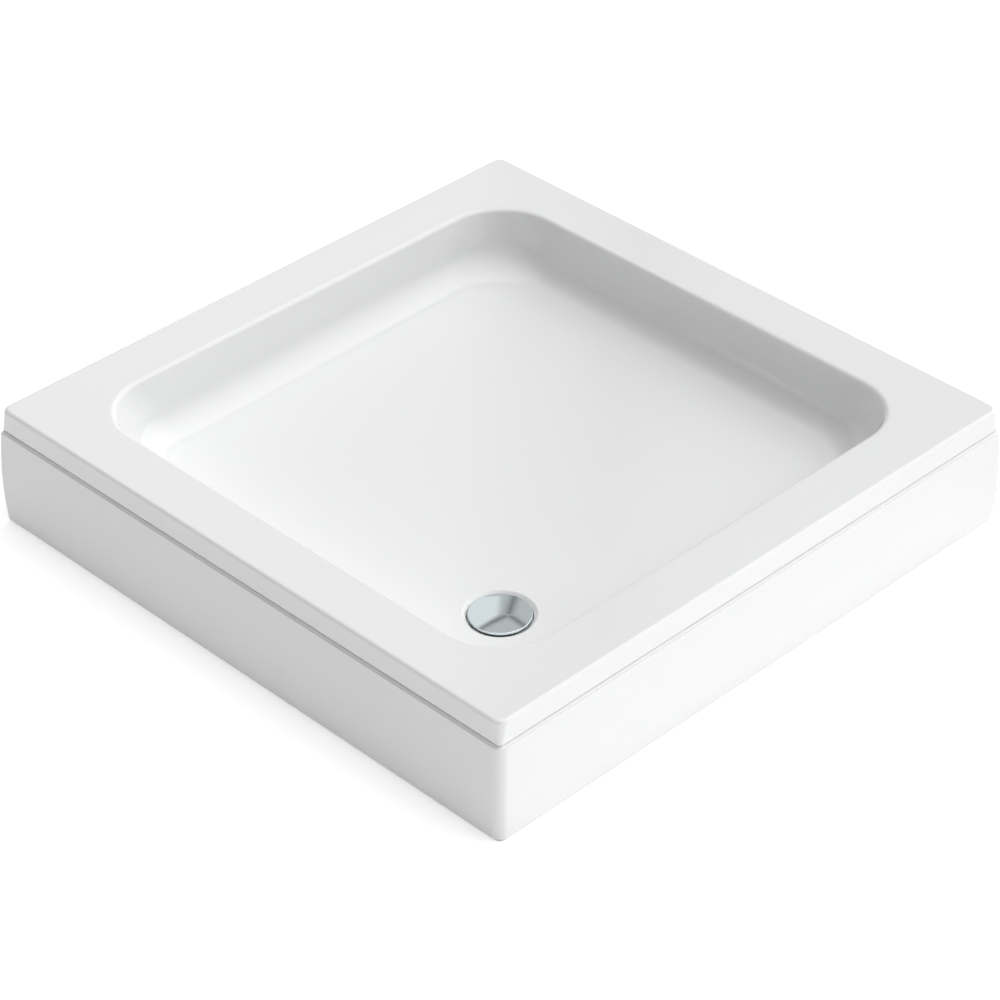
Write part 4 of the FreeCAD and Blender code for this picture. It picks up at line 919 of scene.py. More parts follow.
@dataclass
class Tray:
    """The moulded shell and its fibre laminate."""

    form: TrayForm = field(default_factory=TrayForm)
    well_rounds: tuple[float, ...] = (0, 0.5 * MM, 0.8 * MM, 1.2 * MM, 1.8 * MM, 0)
    laminate_gap: float = 4.2 * MM
    laminate_thickness: float = 2.5 * MM
    laminate_hole: float = 49.0 * MM
    laminate_drop: float = 7.2 * MM
    sharp: float = 38.0

    def shell(self) -> bpy.types.Object:
        """Closed rings: waste hole, seat, well, bevel, floor, cove, wall, rim, lip and back.

        Returns:
            The piece.
        """
        form = self.form
        top = np.concatenate(form.basin_rows())
        angle = self.angles(top[0])
        floor = float(form.floor_at(*form.waste))
        well = [
            (form.hole, form.boss_bottom),
            (form.hole, floor - form.well_depth),
            (form.well, floor - form.well_depth),
            (form.well, floor - form.bevel_depth),
            (form.bevel, floor),
            (form.strip_start, floor),
        ]
        waste = form.waste_ring(soft_profile(well, self.well_rounds), angle)
        back = form.offset(top, form.sheet)[::-1]
        back[0, :, 2] = top[-1, :, 2]
        boss = np.array([(form.boss, floor - form.sheet), (form.boss, form.boss_bottom)])
        boss_rings = form.waste_ring(boss, angle)
        boss_rings[0, :, 2] = form.floor_at(boss_rings[0, :, 0], boss_rings[0, :, 1]) - form.sheet
        under = form.strip(boss_rings[0], back[-1])[::-1]
        rows = [waste, form.strip(waste[-1], top[0]), top, back, under, boss_rings]
        return make_piece("shell", grid(np.concatenate(rows), True, True), sharp=self.sharp)

    def angles(self, ring: Array) -> Array:
        """The angle of each place of a ring, seen from the waste's axis."""
        return np.arctan2(ring[:, 1] - self.form.waste[1], ring[:, 0] - self.form.waste[0])

    def laminate(self) -> bpy.types.Object:
        """The laminate: the basin's rings moved out twice and closed at hole and upper edge.

        Returns:
            The piece.
        """
        form, gap, thickness = self.form, self.laminate_gap, self.laminate_thickness
        top = form.rim_top - self.laminate_drop

        def brought_up(rings: Array) -> Array:
            """The last ring carried on along the wall to the height of the upper edge."""
            step = rings[-1] - rings[-2]
            return rings[-1] + step * ((top - rings[-1, :, 2]) / step[:, 2])[:, None]

        cove, wall = form.basin_rows()[:2]
        rows = np.concatenate([cove, wall])
        near, far = form.offset(rows, gap), form.offset(rows, gap + thickness)
        hole = self.laminate_hole
        rim = form.waste_ring(np.array([(hole, 0.0), (hole, 0.0)]), self.angles(rows[0]))
        level = form.floor_at(rim[..., 0], rim[..., 1])
        rim[..., 2] = level - np.array((gap, gap + thickness))[:, None]
        edges = [brought_up(near)[None], brought_up(far)[None]]
        blocks = [rim[:1], form.strip(rim[0], near[0]), near, *edges, far[::-1]]
        blocks += [form.strip(rim[1], far[0])[::-1], rim[1:]]
        return make_piece("laminate", grid(np.concatenate(blocks), True, True), sharp=self.sharp)

    def build(self, dresser: Dresser) -> None:
        """Both pieces, dressed.

        Args:
            dresser: finishes the pieces.
        """
        dresser.dress(self.shell(), "tray_shell")
        dresser.dress(self.laminate(), "laminate_backing")


# --------------------------------------------------------------------- apron
@dataclass
class Apron:
    """The bowed L-shaped panel with its battens and strike plates."""

    height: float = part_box("apron_panel")[1][2]
    face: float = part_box("apron_panel")[1][0]
    end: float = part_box("apron_panel")[1][1]
    bow: float = 4.8 * MM
    thickness: float = 3.0 * MM
    flange: float = 25.0 * MM
    corner: float = 14.0 * MM
    edge: float = 2.0 * MM
    inner_edge: float = 0.6 * MM
    step_out: float = 452.2 * MM
    step_rise: float = 2.3 * MM
    step_slope: float = 2.2 * MM
    step_round: float = 0.4 * MM
    step_back: Pair = (10.0 * MM, 10.5 * MM)
    step_corner: float = 7.2 * MM
    batten_edge: float = 1.2 * MM
    plate_edge: float = 0.25 * MM
    bow_steps: int = 24
    run_steps: int = 40
    corner_steps: int = 16

    def section(self) -> Array:
        """Distance out and height of the C section: outer line up, then inner line down.

        The bowed faces are circles about one axis: n = centre + sqrt(R^2 - (z - middle)^2). The
        upper flange has a narrow ledge, and behind it a slope that rises under the tray's lip.

        Returns:
            n x 2 points, the first half on the outer face and the second on the inner face.
        """
        radius = (self.height**2 / 4 + self.bow**2) / (2 * self.bow)
        centre, middle = self.face - radius, self.height / 2
        lip = self.face - self.bow - self.flange

        def line(inset: float, rounds: float) -> Array:
            """One face of the sheet, from the lower flange's lip to the upper one's.

            Args:
                inset: from the outer face.
                rounds: radius of its two edges.

            Returns:
                Points of that face.
            """
            reach = radius - inset
            low, high = inset, self.height - inset
            z = np.linspace(low, high, self.bow_steps + 1)[1:-1]
            bow = np.column_stack([centre + np.sqrt(reach**2 - (z - middle) ** 2), z])
            out = centre + sqrt(reach**2 - (low - middle) ** 2)
            slope = self.step_slope
            away = np.array((0, slope, slope + self.step_round, *self.step_back))
            share = np.array((0, 0.9, 1, 1, 0)) * (inset == 0)
            step = np.column_stack([self.step_out - inset - away, high + self.step_rise * share])
            lower = soft_profile([(lip, low), (out, low), tuple(bow[0])], (0, rounds, 0), steps=6)
            upper = soft_profile([tuple(bow[-1]), (out, high), tuple(step[0])], (0, rounds, 0), steps=6)
            return np.vstack([lower, bow[1:-1], upper, step[1:], [(lip, high)]])

        return np.vstack([line(0.0, self.edge), line(self.thickness, self.inner_edge)[::-1]])

    def panel(self) -> bpy.types.Object:
        """The section carried along both sides, round an upright corner, with closed ends.

        With n the section's distance out and r = max(corner - (face - n), 0), the corner's
        places are (n - r) * (1, -1) + r * (sin a, -cos a); the sides run on from it. Places
        under the lip take the lip's own corner for r.

        Returns:
            The piece.
        """
        section = self.section()
        half = len(section) // 2
        bowed = np.concatenate([section[:half, 0], section[:half, 0][::-1]])
        distance, height = section[:, 0], section[:, 1]
        radius = np.clip(self.corner - (np.maximum(bowed, distance) - distance), 0, None)
        under = np.clip(self.step_corner - (self.step_out - distance), 0, None)
        inner = np.arange(len(section)) >= half
        limit = self.step_out + 0.01 * MM - self.thickness * inner
        radius = np.where(distance < limit, under, radius)
        core = distance - radius
        side = ((1 - np.cos(pi * np.linspace(0, 1, self.run_steps + 1))) / 2)[:, None]
        turn = np.linspace(0, pi / 2, self.corner_steps + 1)[:, None]
        start = np.stack([-self.end + side * (core + self.end), 0 * side - distance], axis=-1)
        arc = np.stack([core + radius * np.sin(turn), -core - radius * np.cos(turn)], axis=-1)
        finish = np.stack([0 * side + distance, -core + side * (core + self.end)], axis=-1)
        plan = np.concatenate([start, arc[1:-1], finish])
        places = np.concatenate([plan, np.broadcast_to(height[:, None], plan.shape[:2] + (1,))], axis=-1)
        sheet = grid(places, wrap_columns=True)
        count = len(section)
        pairs = np.arange(half - 1)
        cap = np.stack([pairs, pairs + 1, count - 2 - pairs, count - 1 - pairs], axis=1)
        far = (cap + (len(places) - 1) * count)[:, ::-1]
        sheet.faces += cap.tolist() + far.tolist()
        return make_piece("apron", sheet, sharp=38)

    def build(self, dresser: Dresser) -> None:
        """Panel, and softened battens and plates.

        Args:
            dresser: finishes the pieces.
        """
        dresser.dress(self.panel(), "apron_panel")
        for node in dresser.waiting("apron_batten"):
            dresser.dress(softened(node, self.batten_edge, 3), node)
        for node in dresser.waiting("strike_plate"):
            dresser.dress(softened(node, self.plate_edge), node)


# -------------------------------------------------------------- screws, nuts
@dataclass(frozen=True)
class Screw:
    """A pan-head screw with a cross recess and a helical thread; +Z runs into the work."""

    head: float
    head_height: float
    shank: float
    length: float
    lead: float = 1.6 * MM
    around: int = 32
    per_turn: int = 8
    recess_depth: float = 0.75
    recess_arm: float = 0.085
    recess_reach: float = 0.24
    recess_fade: float = 0.06
    core: float = 0.36
    rise: float = 0.14
    head_shares: tuple[float, ...] = (
        0, 0.08, 0.16, 0.24, 0.32, 0.40, 0.46, 0.56, 0.7, 0.82, 0.91, 0.96, 0.99, 1.0,
    )

    def surface(self) -> Surface:
        """Head by polar grid with the recess sunk in it, and shank by angle and depth.

        Head: z = -height * (1 - (r/R)^4)^(1/2) + recess, where the recess is deep where |x| or
        |y| is small and r is under half of R. Shank: r = core + rise * |2 frac(z/lead - a/2pi) - 1|,
        drawn in to a point at its end.

        Returns:
            The closed surface, with the head's underside at 0.
        """
        angle = full_turn(self.around)
        radius = self.head / 2 * np.array(self.head_shares)[:, None]
        near = np.minimum(np.abs(radius * np.cos(angle)), np.abs(radius * np.sin(angle)))
        arms = np.clip(1.5 - near / (self.recess_arm * self.head), 0, 1)
        inside = np.clip((self.recess_reach * self.head - radius) / (self.recess_fade * self.head), 0, 1)
        dome = -self.head_height * np.sqrt(np.clip(1 - (2 * radius / self.head) ** 4, 0, 1))
        recess = self.recess_depth * self.head_height * arms * inside
        z = np.linspace(0, self.length, int(self.length / self.lead * self.per_turn))[:, None]
        saw = np.abs(2 * np.mod(z / self.lead - angle / (2 * pi), 1) - 1)
        point = np.clip((self.length - z) / (1.5 * self.shank), 0, 1) ** 0.7
        reach = (self.core * self.shank + self.rise * self.shank * saw) * point
        head, shank = round_places(radius, angle, dome + recess), round_places(reach, angle, z)
        return grid(np.concatenate([head, shank]), wrap_columns=True)


def thread_radius(z: Array, angle: Array, outer: float, depth: float, pitch: float) -> Array:
    """Radius of a helical thread: outer - depth * |2 frac(z / pitch - a / 2 pi) - 1|."""
    return outer - depth * np.abs(2 * np.mod(z / pitch - angle / (2 * pi), 1) - 1)


def threaded_rod(radius: float, low: float, high: float, pitch: float, chamfer: float) -> Surface:
    """A threaded rod with chamfered ends: the thread's radius, limited near both ends.

    The limit is radius - chamfer plus the distance from the end. The thread is 0.117 times the
    radius deep.

    Args:
        radius: of the rod.
        low: height of its lower end.
        high: height of its upper end.
        pitch: rise of the thread in one turn.
        chamfer: width of the chamfers.

    Returns:
        The closed surface round the Z axis.
    """
    around, per_turn = 28, 6
    angle = full_turn(around)
    z = np.linspace(low, high, int((high - low) / pitch * per_turn) + 1)[:, None]
    limit = radius - chamfer + np.minimum(z - low, high - z)
    reach = np.minimum(thread_radius(z, angle, radius, 0.117 * radius, pitch), limit)
    rows = round_places(reach, angle, z)
    ends = [rows[:1] * (share, share, 1) for share in (0, 0.5)]
    tails = [rows[-1:] * (share, share, 1) for share in (0.5, 0)]
    return grid(np.concatenate(ends + [rows] + tails), wrap_columns=True)


def hex_nut(flats: float, height: float, bore: float, pitch: float) -> Surface:
    """A chamfered hexagon nut, from 0 to its height.

    Outer radius is flats / 2 / cos(a mod 60 - 30 degrees), limited at both ends by a cone from
    the flats' circle that rises by 1.7 times the distance from the end. The bore's thread is
    0.25 mm deep and opens into a 0.6 mm mouth at both ends.

    Args:
        flats: distance across the flats.
        height: of the nut.
        bore: radius inside the thread.
        pitch: rise of the thread in one turn.

    Returns:
        The closed surface round the Z axis.
    """
    around, down = 72, 32
    depth, mouth_width = 0.25 * MM, 0.6 * MM
    angle = full_turn(around)
    lower = np.array((0, 0.01, 0.03, 0.06, 0.1, 0.14, 0.2))
    z = height * np.concatenate([lower, (0.5, 0.8, 0.86, 0.9, 0.94, 0.97, 0.99, 1)])[:, None]
    sides = flats / 2 / np.cos(np.mod(angle, pi / 3) - pi / 6)
    outer = np.minimum(sides, 0.965 * flats / 2 + 1.7 * np.minimum(z, height - z))
    inside = np.linspace(height, 0, down + 1)[:, None]
    mouth = np.clip(mouth_width - np.minimum(inside, height - inside), 0, None)
    thread = np.maximum(thread_radius(inside, angle, bore + depth, depth, pitch), bore + mouth)
    rings = round_places(np.concatenate([outer, thread]), angle, np.concatenate([z, inside]))
    return grid(rings, wrap_rows=True, wrap_columns=True)


# ----------------------------------------------------------------- the frame
@dataclass
class Leg:
    """One adjustable leg: threaded rod, foot, pad and two nuts."""

    name: str
    pitch: float = 1.5 * MM
    rod_chamfer: float = 0.8 * MM
    nut_flats: float = 17.0 * MM
    nut_height: float = 8.0 * MM
    bore: float = 5.1 * MM
    neck: float = 11.0 * MM
    plate_height: float = 2.5 * MM
    shoulder: float = 9.5 * MM
    socket_floor: float = 8.0 * MM
    foot_rounds: tuple[float, ...] = (
        0, 0.6 * MM, 0.9 * MM, 2.5 * MM, 1.0 * MM, 0.4 * MM, 0, 0,
    )
    flutes: int = 12
    flute: float = 0.045
    flute_start: float = 1.5 * MM
    flute_fade: float = 2.0 * MM
    grooves: Triple = (8.0 * MM, 12.0 * MM, 16.0 * MM)
    groove_depth: float = 0.5 * MM
    groove_widths: Triple = (0.4 * MM, 0.9 * MM, 1.3 * MM)
    groove_round: float = 0.1 * MM
    pad_chamfer: float = 0.8 * MM
    pad_rounds: tuple[float, ...] = (0.4 * MM, 0.4 * MM, 0.3 * MM, 0)

    def place(self, node: str) -> tuple[Array, Array, Array]:
        """Lowest corner, highest corner and middle of one of the leg's nodes."""
        low, high = (np.array(corner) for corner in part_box(f"{node}_{self.name}"))
        return low, high, (low + high) / 2

    def rod(self) -> bpy.types.Object:
        """The rod, over its node's length.

        Returns:
            The piece.
        """
        low, high, middle = self.place("leg_rod")
        radius = (high[0] - low[0]) / 2
        surface = threaded_rod(radius, low[2], high[2], self.pitch, self.rod_chamfer)
        upright = surface.moved(lambda p: p + (middle[0], middle[1], 0))
        return make_piece(f"rod_{self.name}", upright, sharp=80)

    def foot(self) -> bpy.types.Object:
        """A moulded foot: plate, cone and neck turned, with shallow flutes in the neck.

        The neck's radius is lowered by flute * (1 + cos(flutes * a)) / 2.

        Returns:
            The piece.
        """
        low, high, middle = self.place("leg_foot")
        outer, bottom, top = (high[0] - low[0]) / 2, low[2], high[2]
        corners = [
            (0, bottom),
            (outer, bottom),
            (outer, bottom + self.plate_height),
            (self.neck, self.shoulder),
            (self.neck, top),
            (self.bore, top),
            (self.bore, self.socket_floor),
            (0, self.socket_floor),
        ]
        surface = turned(soft_profile(corners, self.foot_rounds, steps=5), 96)

        def fluted(points: Array) -> Array:
            """Flutes on the neck, fading in over its lowest millimetres, and the leg's place.

            Args:
                points: n x 3 places round the Z axis.

            Returns:
                The moved places.
            """
            radius = np.hypot(points[:, 0], points[:, 1])
            angle = np.arctan2(points[:, 1], points[:, 0])
            above = points[:, 2] - self.shoulder - self.flute_start
            share = np.clip(above / self.flute_fade, 0, 1) * (radius > 0.7 * self.neck)
            scale = 1 - share * self.flute * (1 + np.cos(self.flutes * angle)) / 2
            shrunk = points * np.column_stack([scale, scale, np.ones(len(scale))])
            return shrunk + (middle[0], middle[1], 0)

        return make_piece(f"foot_{self.name}", surface.moved(fluted), sharp=50)

    def pad(self) -> bpy.types.Object:
        """The rubber pad, with three shallow ring grooves under it.

        Returns:
            The piece.
        """
        low, high, middle = self.place("foot_pad")
        outer, bottom, top = (high[0] - low[0]) / 2, low[2], high[2]
        near, far, end = self.groove_widths
        deep = bottom + self.groove_depth
        corners: list[Pair] = [(0, bottom)]
        radii: list[float] = [0]
        for groove in self.grooves:
            corners += [(groove, bottom), (groove + near, deep), (groove + far, deep)]
            corners.append((groove + end, bottom))
            radii += [self.groove_round] * 4
        chamfer = self.pad_chamfer
        corners += [(outer - chamfer, bottom), (outer, bottom + chamfer), (outer, top), (0, top)]
        radii += self.pad_rounds
        surface = turned(soft_profile(corners, radii, steps=2), 64)
        upright = surface.moved(lambda p: p + (middle[0], middle[1], 0))
        return make_piece(f"pad_{self.name}", upright, sharp=60)

    def nuts(self) -> bpy.types.Object:
        """The two nuts, at the lower and the upper end of their node's box.

        Returns:
            The piece, which holds both.
        """
        low, high, middle = self.place("leg_nuts")
        nut = hex_nut(self.nut_flats, self.nut_height, self.bore, self.pitch)
        pair = [
            nut.moved(lambda p: p + (middle[0], middle[1], low[2])),
            nut.moved(lambda p: p + (middle[0], middle[1], high[2] - self.nut_height)),
        ]
        return make_piece(f"nuts_{self.name}", Surface.joined(pair), sharp=28)

    def build(self, dresser: Dresser) -> None:
        """All four pieces, dressed.

        Args:
            dresser: finishes the pieces.
        """
        makers = {"leg_rod": self.rod, "leg_foot": self.foot, "foot_pad": self.pad, "leg_nuts": self.nuts}
        for node, maker in makers.items():
            dresser.dress(maker(), f"{node}_{self.name}")


@dataclass
class SupportFrame:
    """Base board, rails and their screws, and the legs."""

    screw: Screw = Screw(9.0 * MM, 2.4 * MM, 4.5 * MM, 31.0 * MM)
    spread: float = 150.0 * MM
    fall: float = FLOOR_FALL
    rails: tuple[str, ...] = ("front", "middle", "back")
    board_edge: float = 0.8 * MM
    rail_edge: float = 0.5 * MM

    def screws(self) -> bpy.types.Object:
        """Two screws in each rail, their heads under its web.

        Returns:
            The piece, which holds all six.
        """
        parts, shape = [], self.screw.surface()
        for rail in self.rails:
            low, high = (np.array(corner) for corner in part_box(f"support_rail_{rail}"))
            y = (low[1] + high[1]) / 2
            for x in (-self.spread, self.spread):
                # the rail's box is lowest at its +X end, front edge to back edge
                web = low[2] + self.fall * (high[0] - x) + self.fall * (y - low[1])
                parts.append(shape.moved(pointed((0, 0, 1), (x, y, web - SCREW_GAP))))
        return make_piece("rail_screws_dressed", Surface.joined(parts), sharp=35)

    def build(self, dresser: Dresser) -> None:
        """Board, rails, screws and legs.

        Args:
            dresser: finishes the pieces.
        """
        dresser.dress(softened("base_board", self.board_edge), "base_board")
        for rail in self.rails:
            node = f"support_rail_{rail}"
            dresser.dress(softened(node, self.rail_edge, 3), node)
        dresser.dress(self.screws(), "rail_screws")
        for node in dresser.waiting("leg_rod_"):
            Leg(node.removeprefix("leg_rod_")).build(dresser)


# ------------------------------------------------------------------- catches
class Side(Enum):
    """An apron side, with the sign and axis of its outward direction."""

    FRONT = (0.0, -1.0)
    SIDE = (1.0, 0.0)

    def place(self, along: float, out: float, z: float) -> Triple:
        """The place that lies along the side by one distance and out from the middle by another."""
        return (along, -out, z) if self is Side.FRONT else (out, along, z)

    def outward(self) -> Triple:
        """The outward direction."""
        return (*self.value, 0.0)


@dataclass
class Catches:
    """Blocks, brackets and magnets under the rim, and the screws of brackets and plates."""

    spread: float = 250.0 * MM
    batten_back: float = 431.3 * MM
    plate: float = 1.5 * MM
    bracket_sheet: float = 2.0 * MM
    screw: Screw = Screw(7.0 * MM, 1.8 * MM, 3.5 * MM, 11.6 * MM, 1.3 * MM)
    bracket_screw_back: float = 20.8 * MM
    bracket_screw_spread: float = 10.0 * MM
    strike_screw_spread: float = 17.5 * MM
    magnet_depth: float = 6.0 * MM
    cup_wall: float = 1.4 * MM
    ring_width: float = 0.8 * MM
    ring_sink: float = 0.5 * MM
    disc_sink: float = 0.1 * MM
    block_edge: float = 1.2 * MM
    bracket_edge: float = 0.3 * MM

    def sites(self) -> Iterator[tuple[str, Side, float]]:
        """Name, side and place along it of each catch.

        Returns:
            One tuple for each of the four.
        """
        for side in Side:
            for number, sign in ((1, -1), (2, 1)):
                yield f"{side.name.lower()}_{number}", side, sign * self.spread

    def magnet(self, name: str, side: Side) -> bpy.types.Object:
        """A cup magnet: steel cup with a ring sunk round a disc, turned about its axis.

        Args:
            name: the catch's name.
            side: the apron side that it holds.

        Returns:
            The piece.
        """
        low, high = (np.array(corner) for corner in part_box(f"catch_magnet_{name}"))
        radius, depth = (high[2] - low[2]) / 2, self.magnet_depth
        cup = radius - self.cup_wall
        disc, face = cup - self.ring_width, depth - self.disc_sink
        corners = [(0, 0), (radius, 0), (radius, depth), (cup, depth), (cup, depth - self.ring_sink)]
        corners += [(disc, depth - self.ring_sink), (disc, face), (0, face)]
        radii = (0, 0.5 * MM, 0.3 * MM, 0.15 * MM, 0, 0, 0.15 * MM, 0)
        out = min(abs(low @ side.outward()), abs(high @ side.outward()))
        along = (low + high)[0 if side is Side.FRONT else 1] / 2
        origin = side.place(along, out, (low[2] + high[2]) / 2)
        surface = turned(soft_profile(corners, radii, steps=3), 48).moved(pointed(side.outward(), origin))
        return make_piece(f"magnet_{name}", surface, sharp=50)

    def bracket_screws(self) -> bpy.types.Object:
        """Two screws up through each bracket into its block.

        Returns:
            The piece, which holds all eight.
        """
        parts, shape = [], self.screw.surface()
        out = self.batten_back - self.bracket_screw_back
        for name, side, along in self.sites():
            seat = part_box(f"rim_block_{name}")[0][2] - self.bracket_sheet - SCREW_GAP
            for across in (-self.bracket_screw_spread, self.bracket_screw_spread):
                parts.append(shape.moved(pointed((0, 0, 1), side.place(along + across, out, seat))))
        return make_piece("bracket_screws_dressed", Surface.joined(parts), sharp=35)

    def strike_screws(self) -> bpy.types.Object:
        """Two screws outwards through each strike plate into the upper batten.

        Returns:
            The piece, which holds all eight.
        """
        parts, shape = [], self.screw.surface()
        out = self.batten_back - self.plate - SCREW_GAP
        for name, side, along in self.sites():
            low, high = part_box(f"strike_plate_{name}")
            for across in (-self.strike_screw_spread, self.strike_screw_spread):
                origin = side.place(along + across, out, (low[2] + high[2]) / 2)
                parts.append(shape.moved(pointed(side.outward(), origin)))
        return make_piece("strike_screws_dressed", Surface.joined(parts), sharp=35)

    def build(self, dresser: Dresser) -> None:
        """All of the catches, dressed.

        Args:
            dresser: finishes the pieces.
        """
        for name, side, _ in self.sites():
            block, bracket = f"rim_block_{name}", f"panel_bracket_{name}"
            dresser.dress(softened(block, self.block_edge, 3), block)
            dresser.dress(softened(bracket, self.bracket_edge), bracket)
            dresser.dress(self.magnet(name, side), f"catch_magnet_{name}")
        dresser.dress(self.bracket_screws(), "bracket_screws")
        dresser.dress(self.strike_screws(), "strike_screws")


# ----------------------------------------------------------------- the waste
@dataclass
class Waste:
    """Cover, flange, odour trap and trap body."""

    axis: Pair = WASTE_PLACE
    edge: float = 3.0 * MM
    crown: float = COVER_CROWN
    flat_end: float = 1.6 * MM
    rim_width: float = 3.5 * MM
    recess: float = 0.8 * MM
    web: float = 2.0 * MM
    web_edge: float = 0.25 * MM
    shoulder: float = 22.0 * MM
    plug: float = 17.4 * MM
    shoulder_drop: float = 4.0 * MM
    rim_rounds: tuple[float, ...] = (0, 1.2 * MM, 0.5 * MM, 0.3 * MM, 0.3 * MM, 0)
    web_rounds: tuple[float, ...] = (1.0 * MM, 0.4 * MM, 0.8 * MM, 0)
    dome_steps: int = 21
    around: int = 96

    def cover(self) -> bpy.types.Object:
        """A domed disc over two crossed webs.

        The dome's height is crown * (1 - (r / R)^2), steeper over the last millimetres where
        the edge is rounded.

        Returns:
            The piece.
        """
        low, high = (np.array(corner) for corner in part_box("waste_cover"))
        radius, top = (high[0] - low[0]) / 2, high[2]
        side_top = top - self.crown
        bottom = side_top - self.edge
        ceiling, step = bottom + self.recess, bottom - self.shoulder_drop
        reach = np.linspace(0, radius - self.flat_end, self.dome_steps + 1)
        dome = np.column_stack([reach, top - self.crown * (reach / radius) ** 2])
        inside = radius - self.rim_width
        corners = [
            tuple(dome[-1]),
            (radius, side_top),
            (radius, bottom),
            (inside, bottom),
            (inside - 0.5 * MM, ceiling),
            (0, ceiling),
        ]
        rim = soft_profile(corners, self.rim_rounds, steps=6)
        disc = turned(np.vstack([dome[:-1], rim]), self.around)
        half = [
            (self.plug, low[2]),
            (self.plug, step),
            (self.shoulder, step),
            (self.shoulder, ceiling + 0.1 * MM),
        ]
        outline = half + [(-x, z) for x, z in half[::-1]]
        shape = soft_profile(outline, self.web_rounds + self.web_rounds[::-1], closed=True)
        web = plate(shape, self.web, self.web_edge)
        crossed = web.moved(lambda p: p[:, [1, 0, 2]])
        crossed.faces = [face[::-1] for face in crossed.faces]
        whole = Surface.joined([disc, web, crossed]).moved(lambda p: p + (*self.axis, 0))
        return make_piece("cover", whole, sharp=40)

    def build(self, dresser: Dresser) -> None:
        """Cover as a new surface; the other pieces keep their shape with soft edges.

        Args:
            dresser: finishes the pieces.
        """
        dresser.dress(self.cover(), "waste_cover")
        edges = {
            "waste_flange": 0.3 * MM,
            "upper_seal": 0.2 * MM,
            "lower_seal": 0.3 * MM,
            "trap_body": 0.0,
            "outlet_nut": 0.0,
            "outlet_seal": 0.3 * MM,
            "dip_tube": 0.0,
            "dip_tube_seal": 0.0,
            "trap_cup": 0.0,
        }
        for node, edge in edges.items():
            dresser.dress(softened(node, edge), node)


